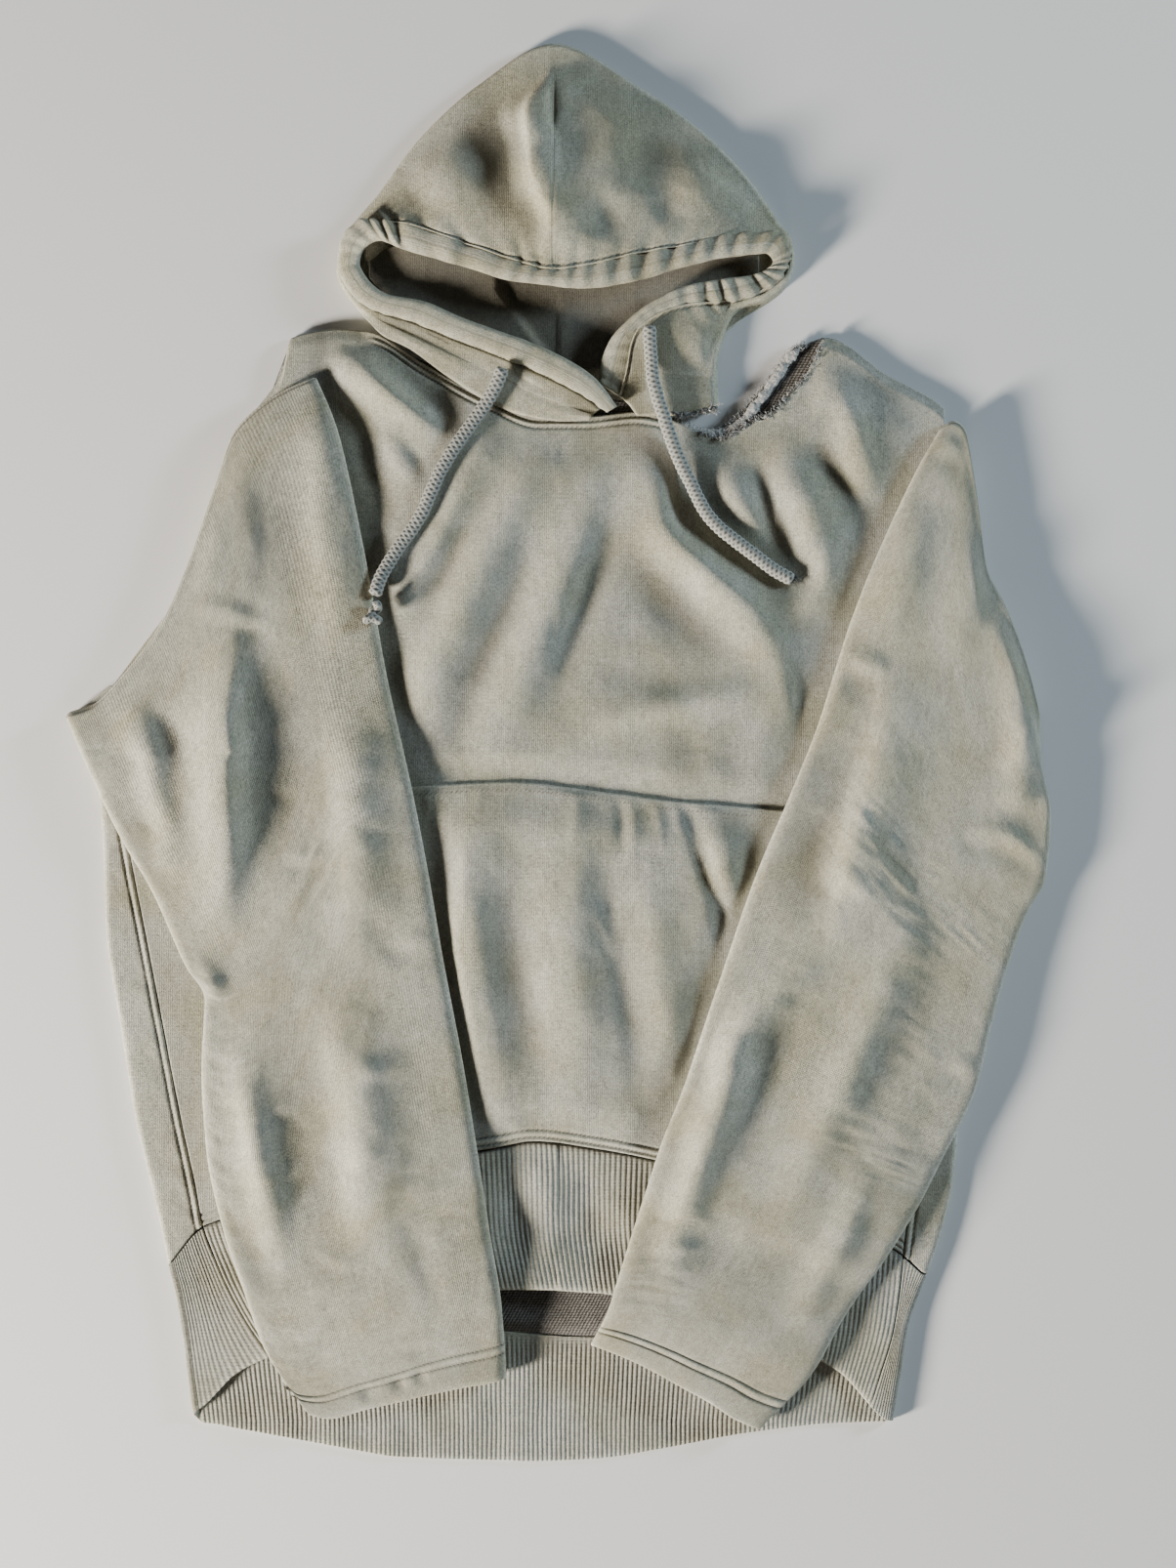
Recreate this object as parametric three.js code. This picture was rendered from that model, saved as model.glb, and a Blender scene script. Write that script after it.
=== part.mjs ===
// Pullover hoodie laid flat on its back, with both sleeves folded over the front.
// Millimetres, +Z up. The origin is under the middle of the outline, on the surface it lies on.
// Sides are named as the wearer's: the wearer's right is at -X, and the hood is at +Y.
import * as THREE from 'three';

// Driving dimensions
const FLEECE = 2.2;          // thickness of the body and sleeve fleece
const HOOD_CLOTH = 2.6;      // outer hood cloth
const LINING_CLOTH = 2.0;    // hood lining
const RIB_CLOTH = 1.6;       // rib knit, without its raised ribs
const RIB_HEIGHT = 0.8;      // how far a rib stands up
const RIB_PITCH = 3.15;      // from one rib to the next
const SEAM_GAP = 0.3;        // between two pieces at a seam
const LOFT = 2.5;            // air between the back and the front as they lie
const SLEEVE_HEIGHT = 7.0;   // a flattened sleeve, both layers and the air between
const FOLD_REACH = 4.5;      // how far a soft side fold takes to round over
const SLEEVE_CLEARANCE = 0.9; // between a sleeve and what it lies on
const SLEEVE_LENGTH = 640;   // from the armhole to the cuff, along the sleeve's middle
const ARMHOLE_ROLL = 7;      // how far the sleeve takes to rise from its armhole seam
const FLOOR_CLEARANCE = 0.4; // least height of an inner face over the floor
const CORD_DIAMETER = 8.0;
const CASING_HEIGHT = 6.4;   // the turned hood edge over its cord
const GATHERS = 34;          // puckers that the cord draws into the hood's edge
const HEM_LIFT = 5.0;        // how far the middle of the front hem stands open

// Heights of the layers as they lie on each other
const BACK_TOP = FLEECE;
const FRONT_UNDER = BACK_TOP + LOFT;
const FRONT_TOP = FRONT_UNDER + FLEECE;
const POCKET_TOP = FRONT_TOP + SEAM_GAP + FLEECE;

// A table turns rows of numbers into objects with named columns.
function table(columns, rows) {
  return rows.map((row) => Object.fromEntries(columns.map((name, k) => [name, row[k]])));
}

// Body edges from the shoulder tips to the hem: side folds, and the seams of the side panels
const bodyEdges = table(['y', 'rightFold', 'rightSeam', 'leftSeam', 'leftFold'], [
  [205, -209, -199, 250, 260],
  [168, -224, -216, 263, 271],
  [133, -236, -229, 267, 274],
  [105, -245, -238, 276, 283],
  [76, -261, -253, 289, 297],
  [50, -282, -274, 296, 304],
  [30, -303, -290, 299, 307],
  [-3, -302, -289, 285, 297],
  [-32, -296, -282, 280, 294],
  [-67, -294, -276, 274, 291],
  [-118, -292, -266, 264, 283],
  [-176, -283, -255, 251, 274],
  [-238, -273, -243, 237, 260],
  [-280, -263, -234, 229, 255],
  [-306, -257, -229, 225, 249],
  [-334, -251, -218, 222, 240],
  [-345, -248, -213, 221, 235],
  [-372, -243, -198, 217, 226],
  [-403, -239, -176, 208, 221],
  [-433, -235, -158, 198, 216],
]);

// Neckline and shoulders across: height of the front edge and of the back edge
const topEdges = table(['x', 'front', 'back'], [
  [-209, 205, 205],
  [-193, 225, 225],
  [-178, 246, 246],
  [-173, 268, 268],
  [-140, 274, 274],
  [-122, 272, 271],
  [-88, 252, 254],
  [-45, 229, 241],
  [-13, 217, 235],
  [18, 217, 232],
  [50, 220, 226],
  [74, 215, 217],
  [89, 208, 209],
  [106, 203, 210],
  [125, 214, 227],
  [137, 219, 242],
  [151, 233, 259],
  [162, 246, 265],
  [173, 268, 269],
  [215, 243, 243],
  [243, 228, 228],
  [260, 212, 212],
]);

// Hem across: seam of body and rib, and the rib's lower edge, on the front and on the back
const hemEdges = table(['x', 'frontSeam', 'frontHem', 'backSeam', 'backHem'], [
  [-252, -332, -436, -334, -434],
  [-229, -306, -422, -346, -434],
  [-205, -298, -399, -354, -438],
  [-150, -282, -377, -364, -448],
  [-100, -266, -361, -370, -456],
  [-38, -255, -346, -374, -458],
  [-16, -251, -346, -376, -458.6],
  [25, -256, -348, -378, -457],
  [70, -265, -356, -374, -450],
  [125, -284, -373, -368, -440],
  [180, -305, -399, -358, -434],
  [216, -320, -433, -348, -433],
  [240, -340, -437, -341, -433],
]);

// Kangaroo pocket: its sides by height, and its top edge across
const pocketSides = table(['y', 'right', 'left'], [
  [-20, -95, 145],
  [-150, -160, 196],
  [-280, -166, 184],
]);
const pocketTopEdge = table(['x', 'y'], [
  [-95, -22],
  [-33, -19],
  [34, -26],
  [72, -31],
  [145, -37],
]);

// Sleeves: one row for each section, from the armhole to the cuff
const rightSleeveRows = table(['innerX', 'innerY', 'outerX', 'outerY'], [
  [-156, 243, -318, 26],
  [-142, 209, -301, -13],
  [-125, 133, -281, -55],
  [-109, 45, -261, -89],
  [-94, -21, -240, -136],
  [-84, -72, -227, -160],
  [-73, -135, -229, -205],
  [-61, -198, -226, -255],
  [-52, -253, -215, -307],
  [-44, -305, -203, -343],
  [-36, -353, -188, -384],
  [-33, -403, -168, -414],
]);
const leftSleeveRows = table(['innerX', 'innerY', 'outerX', 'outerY'], [
  [247, 210, 310, 27],
  [233, 186, 311, -6],
  [211, 140, 317, -41],
  [189, 86, 314, -79],
  [166, 14, 301, -105],
  [148, -30, 289, -139],
  [128, -77, 280, -171],
  [103, -149, 269, -216],
  [79, -220, 246, -264],
  [67, -250, 234, -288],
  [54, -290, 214, -320],
  [39, -336, 185, -362],
  [32, -358, 162, -401],
  [21, -381, 130, -436],
]);

// Sleeve ends across, from the inner to the outer edge: the armhole line and the cuff's hem,
// and how high the armhole end stands, on the shoulder or rolled down over the side
const rightSleeveEnds = table(['across', 'armX', 'armY', 'armZ', 'cuffX', 'cuffY'], [
  [0, -156, 243, 8.2, -33, -403],
  [0.1, -180, 232, 8.2, -46, -406],
  [0.2, -209, 206, 8.6, -60, -408],
  [0.35, -221, 174, 0.4, -80, -412],
  [0.5, -238, 125, 0.4, -101, -417],
  [0.65, -254, 88, 0.4, -123, -422],
  [0.8, -278, 54, 0.4, -146, -428],
  [0.9, -300, 32, 0.4, -158, -426],
  [1, -318, 26, 0.4, -168, -414],
]);
const leftSleeveEnds = table(['across', 'armX', 'armY', 'armZ', 'cuffX', 'cuffY'], [
  [0, 247, 210, 8.4, 21, -381],
  [0.06, 255, 214, 8.4, 28, -383],
  [0.13, 262, 209, 7.8, 36, -386],
  [0.25, 268, 183, 0.4, 48, -391],
  [0.4, 272, 153, 0.4, 64, -399],
  [0.55, 276, 122, 0.4, 80, -408],
  [0.7, 288, 97, 0.4, 98, -418],
  [0.85, 301, 62, 0.4, 113, -428],
  [1, 310, 27, 0.4, 130, -436],
]);

// Hood: one row for each section round the mouth, from the crossing at the throat along the
// wearer's right edge, over the crown and back down the wearer's left edge.
// inner and outer are the casing's edges and rim its middle height, edge is the outline's fold
// or, in front, the middle of the panel, and end is the neck edge.
const hoodRows = table(
  ['innerX', 'innerY', 'outerX', 'outerY', 'rim',
    'edgeX', 'edgeY', 'edgeTop', 'edgeUnder', 'endX', 'endY', 'endTop'],
  [
    [38, 222, 31, 218, 15.6, 28, 216, 13, 12.6, 27, 213, 10.4],
    [25, 239, 16, 229, 15.8, 9, 222, 12.8, 12, 5, 213, 10.2],
    [-3, 257, -9, 242, 15.6, -15, 231, 12.4, 11.8, -22, 217, 10],
    [-33, 269, -40, 255, 15.2, -39, 243, 12.2, 11.6, -45, 226, 10],
    [-58, 278, -66, 265, 15, -68, 256, 12.2, 11.6, -71, 242, 9.8],
    [-88, 290, -95, 277, 14.6, -97, 270, 11.8, 11.2, -96, 260, 9.6],
    [-109, 294, -118, 284, 14, -119, 281, 11, 9.4, -113, 269, 9.6],
    [-122, 304, -133, 295, 13.2, -134, 292, 9.6, 4, -124, 280, 6],
    [-127, 314, -141, 312, 12.8, -143, 311, 8.4, 0, -113, 277, 0],
    [-124, 323, -140, 327, 14, -141, 329, 8, 0, -102, 267, 0],
    [-114, 328, -125, 343, 16, -129, 346, 7.6, 0, -90, 259, 0],
    [-96, 321, -101, 341, 18, -117, 360, 7.4, 0, -72, 252, 0],
    [-62, 311, -56, 326, 21, -92, 394, 7.4, 0, -49, 245, 0],
    [-33, 301, -26, 315, 24, -51, 432, 7.4, 0, -26, 240, 0],
    [-7, 297, -2, 309, 26, -2, 458.6, 7.4, 0, -1, 237, 0],
    [18, 295, 20, 312, 26, 50, 432, 7.4, 0, 22, 235, 0],
    [50, 300, 52, 320, 24, 94, 401, 7.4, 0, 45, 230, 0],
    [81, 310, 84, 326, 22, 125, 369, 7.4, 0, 64, 226, 0],
    [110, 317, 112, 333, 19, 144, 341, 7.6, 0, 76, 225, 0],
    [133, 320, 143, 335, 16, 150, 334, 7.8, 0, 84, 225, 0],
    [138, 315, 151, 321, 14, 153, 320, 8, 0, 90, 225, 0],
    [133, 310, 147, 308, 13.6, 150, 306, 8, 0, 95, 225, 0],
    [125, 307, 134, 296, 13.8, 136, 294, 8, 0, 98, 225, 0],
    [106, 304, 112, 289, 14.4, 115, 285, 8.4, 0, 101, 224, 0.4],
    [83, 300, 84, 286, 15, 104, 262, 9.6, 3, 104, 221, 5],
    [61, 290, 67, 281, 15, 98, 242, 9.6, 9, 99, 219, 9.6],
    [44, 277, 53, 271, 14.4, 76, 243, 11, 10.6, 88, 219, 10],
    [33, 264, 49, 262, 13.4, 62, 240, 11, 10.6, 76, 217, 10],
    [27, 248, 46, 245, 12, 54, 232, 10.8, 10.4, 62, 217, 10],
    [26, 238, 41, 229, 10.6, 46, 224, 10.6, 10.2, 51, 217, 10],
  ],
);

// Hood lining across, where it shows in the mouth: its upper and lower edge and its height
const liningRows = table(['x', 'upper', 'lower'], [
  [-122, 317, 307],
  [-110, 326, 294],
  [-88, 330, 276],
  [-60, 330, 262],
  [-30, 326, 254],
  [0, 324, 250],
  [30, 324, 248],
  [60, 328, 248],
  [80, 332, 256],
  [92, 332, 288],
  [110, 328, 305],
  [130, 322, 310],
]);

// Main folds, as ridges (height above 0) or troughs along a line: width is the half width
const foldColumns = ['fromX', 'fromY', 'toX', 'toY', 'width', 'height'];
const frontFolds = table(foldColumns, [
  [-145, 262, -62, 168, 13, 4.5],
  [-18, 205, -38, 30, 24, 2.5],
  [18, 178, -92, -10, 17, 3],
  [60, 170, 62, 20, 22, 2],
  [96, 190, 150, 120, 15, 3],
  [190, 225, 172, 130, 9, 4],
  [158, 60, 20, 10, 16, 2.6],
  [210, 216, 205, 165, 8, 3],
]);
const pocketFolds = table(foldColumns, [
  [-62, -34, -56, -190, 12, 3.5],
  [4, -34, 2, -215, 12, 3.2],
  [30, -60, 44, -225, 7, 2.4],
  [84, -46, 104, -120, 10, 3],
  [-30, -120, -28, -235, 14, 1.6],
]);
const rightSleeveFolds = table(foldColumns, [
  [-214, 120, -206, -150, 17, 6],
  [-140, 190, -106, -60, 16, 3],
  [-262, 60, -225, -110, 20, 2.5],
  [-150, -120, -120, -360, 24, 3],
  [-206, -175, -196, -330, 14, 2.5],
]);
const leftSleeveFolds = table(foldColumns, [
  [232, 150, 214, -20, 22, 3],
  [172, -85, 82, -335, 13, 5],
  [286, 30, 262, -90, 18, 3.5],
  [232, -110, 150, -360, 24, 2.5],
]);
const hoodFolds = table(foldColumns, [
  [-14, 415, 18, 355, 15, 8],
  [18, 365, -12, 318, 15, 8],
  [60, 400, 70, 335, 14, 4],
  [-40, 400, -34, 345, 12, -2.5],
]);

// Drawcord ends, hand-placed along the routes that they take over the hood and the front
const rightCordRoute = table(['x', 'y', 'z'], [
  [-35, 246, 18.6],
  [-39, 236, 17.4],
  [-46, 224, 15.6],
  [-56, 210, 14.4],
  [-66, 196, 14.4],
  [-75, 181, 14.2],
  [-81, 168, 13.8],
  [-87, 154, 13.2],
  [-94, 143, 12.6],
  [-102, 132, 12.4],
  [-109, 121, 12.8],
  [-114, 111, 14.6],
  [-117, 101, 16.6],
]);
const leftCordRoute = table(['x', 'y', 'z'], [
  [59, 273, 19],
  [59, 264, 18.6],
  [60, 252, 17.4],
  [61, 240, 16.8],
  [64, 228, 16.2],
  [68, 216, 15.4],
  [73, 201, 14],
  [79, 186, 13.6],
  [86, 172, 13.6],
  [94, 156, 14],
  [103, 145, 14.4],
  [114, 136, 14.6],
  [126, 127, 14],
  [138, 118, 12.6],
  [151, 111, 11.8],
]);
const knot = { x: -118.2, y: 89.5, z: 19.4, radius: 5.6, length: 7.5 };

// Small number helpers
const lerp = (a, b, t) => a + (b - a) * t;
const clamp01 = (t) => Math.min(1, Math.max(0, t));
const smoothStep = (from, to, value) => {
  const t = clamp01((value - from) / (to - from));
  return t * t * (3 - 2 * t);
};

// A smooth function through one column of a table, without overshoot between its rows
function column(rows, along, name) {
  const sorted = [...rows].sort((a, b) => a[along] - b[along]);
  const at = sorted.map((row) => row[along]);
  const value = sorted.map((row) => row[name]);
  const chord = at.slice(1).map((next, k) => (value[k + 1] - value[k]) / (next - at[k]));
  const slope = at.map((_, k) => {
    const before = chord[k - 1] ?? chord[k];
    const after = chord[k] ?? before;
    return before * after > 0 ? (2 * before * after) / (before + after) : 0;
  });
  return (query) => {
    if (query <= at[0]) return value[0];
    if (query >= at[at.length - 1]) return value[value.length - 1];
    let k = 0;
    while (query > at[k + 1]) k += 1;
    const step = at[k + 1] - at[k];
    const t = (query - at[k]) / step;
    return value[k] * (1 + 2 * t) * (1 - t) ** 2 + value[k + 1] * t * t * (3 - 2 * t)
      + step * slope[k] * t * (1 - t) ** 2 + step * slope[k + 1] * t * t * (t - 1);
  };
}

// The same through the rows in their order, each row one step on, as a share from 0 to 1
function along(rows, name) {
  const numbered = rows.map((row, k) => ({ share: k / (rows.length - 1), value: row[name] }));
  return column(numbered, 'share', 'value');
}

// Height of a set of folds at a place: each rises along its line and fades at both ends
function foldHeight(folds, x, y) {
  let height = 0;
  for (const fold of folds) {
    const dx = fold.toX - fold.fromX;
    const dy = fold.toY - fold.fromY;
    const length = Math.hypot(dx, dy);
    const on = ((x - fold.fromX) * dx + (y - fold.fromY) * dy) / length;
    const off = ((x - fold.fromX) * dy - (y - fold.fromY) * dx) / length;
    const fadeIn = smoothStep(-fold.width, length * 0.3, on);
    const fadeOut = smoothStep(-fold.width, length * 0.3, length - on);
    height += fold.height * fadeIn * fadeOut * Math.exp(-((off / fold.width) ** 2));
  }
  return height;
}

// Closed body between an outer and an inner grid of points, which may differ in their counts.
// Rows times columns point out of the outer grid; a ring's columns close on themselves.
function wallBetween(outer, inner, ring = false) {
  const positions = [];
  const indices = [];
  const number = (grid) => grid.map((row) => row.map((point) => {
    positions.push(point.x, point.y, point.z);
    return positions.length / 3 - 1;
  }));
  const out = number(outer);
  const inn = number(inner);
  const cover = (ids, flip) => {
    for (let i = 0; i + 1 < ids.length; i += 1) {
      const count = ids[i].length;
      for (let j = 0; j < (ring ? count : count - 1); j += 1) {
        const next = (j + 1) % count;
        const corner = [ids[i][j], ids[i + 1][j], ids[i + 1][next], ids[i][next]];
        if (flip) corner.reverse();
        indices.push(corner[0], corner[1], corner[2], corner[0], corner[2], corner[3]);
      }
    }
  };
  const apart = (p, q) => Math.hypot(
    ...[0, 1, 2].map((axis) => positions[3 * p + axis] - positions[3 * q + axis]),
  );
  const stitch = (a, b) => {
    let i = 0;
    let j = 0;
    while (i < a.length - 1 || j < b.length - 1) {
      const alongA = i < a.length - 1 ? apart(a[i + 1], b[j]) : Infinity;
      const alongB = j < b.length - 1 ? apart(a[i], b[j + 1]) : Infinity;
      if (alongA <= alongB) {
        indices.push(a[i], a[i + 1], b[j]);
        i += 1;
      } else {
        indices.push(a[i], b[j + 1], b[j]);
        j += 1;
      }
    }
  };
  cover(out, false);
  cover(inn, true);
  const closeRing = (row) => (ring ? [...row, row[0]] : row);
  const backwards = (row) => [...row].reverse();
  stitch(closeRing(out[0]), closeRing(inn[0]));
  stitch(backwards(closeRing(out.at(-1))), backwards(closeRing(inn.at(-1))));
  if (!ring) {
    stitch(backwards(out.map((row) => row[0])), backwards(inn.map((row) => row[0])));
    stitch(out.map((row) => row.at(-1)), inn.map((row) => row.at(-1)));
  }
  const geometry = new THREE.BufferGeometry();
  geometry.setAttribute('position', new THREE.Float32BufferAttribute(positions, 3));
  geometry.setIndex(indices);
  geometry.computeVertexNormals();
  return geometry;
}

// Normals of a grid of points, rows times columns
function gridNormals(grid, ring) {
  return grid.map((row, i) => row.map((_, j) => {
    const above = grid[Math.max(0, i - 1)][j];
    const below = grid[Math.min(grid.length - 1, i + 1)][j];
    const count = row.length;
    const left = ring ? row[(j + count - 1) % count] : row[Math.max(0, j - 1)];
    const right = ring ? row[(j + 1) % count] : row[Math.min(count - 1, j + 1)];
    const down = below.clone().sub(above);
    const over = right.clone().sub(left);
    return down.cross(over).normalize();
  }));
}

// Cloth wall inside an outer grid: thickness is a number or a function of row and column
function clothWall(outer, thickness, ring = false) {
  const normals = gridNormals(outer, ring);
  const depth = typeof thickness === 'function' ? thickness : () => thickness;
  const inner = outer.map((row, i) => row.map((point, j) => {
    const inside = point.clone().addScaledVector(normals[i][j], -depth(i, j));
    return inside.setZ(Math.max(inside.z, FLOOR_CLEARANCE));
  }));
  return wallBetween(outer, inner, ring);
}

// Flat cloth: the inner points lie straight under the outer ones
function flatCloth(outer, thickness) {
  const down = (point) => new THREE.Vector3(point.x, point.y, point.z - thickness);
  return wallBetween(outer, outer.map((row) => row.map(down)));
}

const shares = (count) => Array.from({ length: count + 1 }, (_, k) => k / count);
const grid = (rowShares, columnShares, pointAt) => (
  rowShares.map((v) => columnShares.map((u) => pointAt(u, v))));

// Materials, one for each kind of cloth
const colours = {
  fleece: '#bcb7aa',
  sleeve: '#b8b2a4',
  hood: '#aaa492',
  lining: '#8d877a',
  rib: '#a5a193',
  cord: '#8f908a',
};
const cloth = (colour) => new THREE.MeshStandardMaterial({ color: colour, roughness: 0.95, metalness: 0 });
const hoodie = new THREE.Group();
function addPiece(name, geometry, colour) {
  const mesh = new THREE.Mesh(geometry, cloth(colour));
  mesh.name = name;
  hoodie.add(mesh);
}

// Body edges and hem lines as smooth functions
const rightFold = column(bodyEdges, 'y', 'rightFold');
const rightSeam = column(bodyEdges, 'y', 'rightSeam');
const leftSeam = column(bodyEdges, 'y', 'leftSeam');
const leftFold = column(bodyEdges, 'y', 'leftFold');
const topOf = { front: column(topEdges, 'x', 'front'), back: column(topEdges, 'x', 'back') };
const seamOf = { front: column(hemEdges, 'x', 'frontSeam'), back: column(hemEdges, 'x', 'backSeam') };
const hemOf = { front: column(hemEdges, 'x', 'frontHem'), back: column(hemEdges, 'x', 'backHem') };
const innerEdgeX = {
  right: column(rightSleeveRows, 'innerY', 'innerX'),
  left: column(leftSleeveRows, 'innerY', 'innerX'),
};

// Where the front lies bare between the sleeves: 1 in the open, 0 under a sleeve
function bareness(x, y) {
  return smoothStep(2, 20, x - innerEdgeX.right(y)) * smoothStep(2, 20, innerEdgeX.left(y) - x);
}

// How far the hem's front edge stands open, most in the middle and at the edge
function hemLift(x, y) {
  const depth = smoothStep(40, 0, y - hemOf.front(x));
  return HEM_LIFT * depth * smoothStep(190, 20, Math.abs(x));
}

// A place on the front or back panel: across from seam to seam, down from the top edge to the hem seam
function bodyPlace(layer, across, down) {
  let x = lerp(rightSeam(0), leftSeam(0), across);
  let y = 0;
  for (let pass = 0; pass < 12; pass += 1) {
    y = lerp(topOf[layer](x), seamOf[layer](x) + SEAM_GAP, down);
    x = lerp(rightSeam(y) + SEAM_GAP / 2, leftSeam(y) - SEAM_GAP / 2, across);
  }
  return { x, y };
}

// Top of the front: flat under the pocket and sleeves, drawn down to the back at the shoulders
const pocketTopAt = column(pocketTopEdge, 'x', 'y');
const pocketRight = column(pocketSides, 'y', 'right');
const pocketLeft = column(pocketSides, 'y', 'left');
function frontHeight(x, y) {
  const shoulder = Math.max(smoothStep(-118, -128, x), smoothStep(168, 178, x));
  const edge = smoothStep(9, 0, topOf.front(x) - y);
  const neck = smoothStep(4, 26, topOf.front(x) - y);
  const abovePocket = smoothStep(4, 26, y - pocketTopAt(x));
  const folds = foldHeight(frontFolds, x, y) * bareness(x, y) * neck * abovePocket;
  return FRONT_TOP - (LOFT - SEAM_GAP) * shoulder * edge + folds;
}

const bodyRows = [0, 0.008, 0.02, 0.05, ...shares(15).map((s) => lerp(0.09, 1, s))];
const bodyColumns = shares(24);
const frontPoint = (u, v) => {
  const { x, y } = bodyPlace('front', u, v);
  return new THREE.Vector3(x, y, frontHeight(x, y));
};
addPiece('front_panel', flatCloth(grid(bodyRows, bodyColumns, frontPoint), FLEECE), colours.fleece);

const backPoint = (u, v) => {
  const { x, y } = bodyPlace('back', u, v);
  return new THREE.Vector3(x, y, BACK_TOP);
};
const backRows = bodyRows.filter((v, k) => k === 0 || k > 2);
addPiece('back_panel', flatCloth(grid(backRows, shares(14), backPoint), FLEECE), colours.fleece);

// Side panels: from the front seam over the side fold to the back seam
const SIDE_START = 9;        // row of the body where the underarm ends and the side panel starts
const hemSeamY = (x, under) => lerp(seamOf.front(x), seamOf.back(x), under);
const hemEdgeY = (x, under) => lerp(hemOf.front(x), hemOf.back(x), under);
function sidePoint(foldAt, seamAcross, outward, turn, v) {
  const front = bodyPlace('front', seamAcross, v);
  const back = bodyPlace('back', seamAcross, v);
  const under = clamp01(0.5 - turn / 2);
  const [frontEnd, backEnd] = [bodyPlace('front', seamAcross, 1), bodyPlace('back', seamAcross, 1)];
  const seamX = lerp(front.x, back.x, under) + outward * SEAM_GAP;
  const toLastRow = lerp(frontEnd.x - front.x, backEnd.x - back.x, under);
  const angle = Math.min(1, Math.max(-1, turn)) * Math.PI / 2;
  let x = seamX;
  let y = lerp(front.y, back.y, under);
  for (let pass = 0; pass < 6; pass += 1) {
    const reach = Math.min(FOLD_REACH, Math.abs(foldAt(y) - seamX) * 0.6);
    const rounded = foldAt(y) - outward * (0.2 + reach * (1 - Math.cos(angle)));
    x = lerp(rounded, seamX, Math.max(0, Math.abs(turn) - 1));
    const flatX = outward * Math.min(outward * x, outward * foldAt(y) - FOLD_REACH);
    const slant = hemSeamY(flatX + toLastRow, under) + SEAM_GAP - lerp(frontEnd.y, backEnd.y, under);
    y = lerp(front.y, back.y, under) + v ** 4 * slant;
  }
  return new THREE.Vector3(x, y, FRONT_TOP / 2 * (1 + Math.sin(angle)));
}
const foldTurns = [2, 1.7, 1.35, 1, 0.5, 0, -0.5, -1, -1.5, -2];
const sideRows = bodyRows.slice(SIDE_START);
const rightTurns = [...foldTurns].reverse();
const rightSide = grid(sideRows, rightTurns, (turn, v) => sidePoint(rightFold, 0, -1, turn, v));
const leftSide = grid(sideRows, foldTurns, (turn, v) => sidePoint(leftFold, 1, 1, turn, v));
addPiece('side_panel_right', clothWall(rightSide, FLEECE), colours.fleece);
addPiece('side_panel_left', clothWall(leftSide, FLEECE), colours.fleece);

// Pocket: the front's points moved out, with its own upright folds
function pocketPoint(u, v) {
  let x = lerp(pocketRight(-150), pocketLeft(-150), u);
  let y = -150;
  for (let pass = 0; pass < 12; pass += 1) {
    y = lerp(pocketTopAt(x), seamOf.front(x) + 1, v);
    x = lerp(pocketRight(y), pocketLeft(y), u);
  }
  const fromEdge = smoothStep(0, 0.12, v) * smoothStep(0, 0.15, 1 - v);
  const folds = foldHeight(pocketFolds, x, y) * bareness(x, y) * fromEdge;
  return new THREE.Vector3(x, y, frontHeight(x, y) + SEAM_GAP + FLEECE + folds);
}
addPiece('pocket', flatCloth(grid(shares(9), shares(20), pocketPoint), FLEECE), colours.fleece);

// Ribs: raised on the outer points of a wall whose inner side is plain
const ribWave = (k) => (k % 2 === 0 ? 0 : RIB_HEIGHT);
function ribPlace(layer, across, down) {
  let x = lerp(rightSeam(-360), leftSeam(-360), across);
  let y = -360;
  for (let pass = 0; pass < 12; pass += 1) {
    y = lerp(seamOf[layer](x) - 2 * SEAM_GAP, hemOf[layer](x), down);
    x = lerp(rightSeam(y) + SEAM_GAP / 2, leftSeam(y) - SEAM_GAP / 2, across);
  }
  return { x, y };
}
const frontRibCount = Math.round((leftSeam(-345) - rightSeam(-345)) / RIB_PITCH);
const ribBase = FRONT_TOP - RIB_HEIGHT;
const frontRibRows = shares(2);
const frontRibOuter = frontRibRows.map((v) => shares(frontRibCount * 2).map((u, k) => {
  const { x, y } = ribPlace('front', u, v);
  return new THREE.Vector3(x, y, ribBase + ribWave(k) + hemLift(x, y));
}));
const frontRibInner = frontRibRows.map((v) => shares(18).map((u) => {
  const { x, y } = ribPlace('front', u, v);
  return new THREE.Vector3(x, y, ribBase - RIB_CLOTH + hemLift(x, y));
}));
addPiece('hem_rib_front', wallBetween(frontRibOuter, frontRibInner), colours.rib);

// Back rib: flat on the floor with its ribs on the side that shows in the hem's mouth,
// and folded over both sides to the front rib's seams with its ribs on the outside
function ribWrapPoint(side, turn, v, raise) {
  const foldAt = side < 0 ? rightFold : leftFold;
  const seam = ribPlace('front', side < 0 ? 0 : 1, v);
  const under = clamp01(0.5 - turn / 2);
  const angle = Math.min(1, turn) * Math.PI / 2;
  let x = seam.x;
  let y = seam.y;
  for (let pass = 0; pass < 8; pass += 1) {
    const rounded = foldAt(y) - side * (FOLD_REACH - (FOLD_REACH + raise) * Math.cos(angle));
    x = lerp(rounded, seam.x + side * SEAM_GAP, clamp01(turn - 1));
    const flatX = side * Math.min(side * x, side * foldAt(y) - FOLD_REACH);
    y = lerp(hemSeamY(flatX, under) - 4 * SEAM_GAP, hemEdgeY(flatX, under), v);
  }
  const height = ribBase + hemLift(seam.x, seam.y) * (1 - under);
  return new THREE.Vector3(x, y, height / 2 + (height / 2 + raise) * Math.sin(angle));
}
function backRibPoint(across, v, z) {
  let x = 0;
  let y = 0;
  for (let pass = 0; pass < 8; pass += 1) {
    y = lerp(hemSeamY(x, 1) - 2 * SEAM_GAP, hemEdgeY(x, 1), v);
    x = lerp(rightFold(y) + FOLD_REACH, leftFold(y) - FOLD_REACH, across);
  }
  return new THREE.Vector3(x, y, z);
}
const backRibRows = shares(2);
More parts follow.
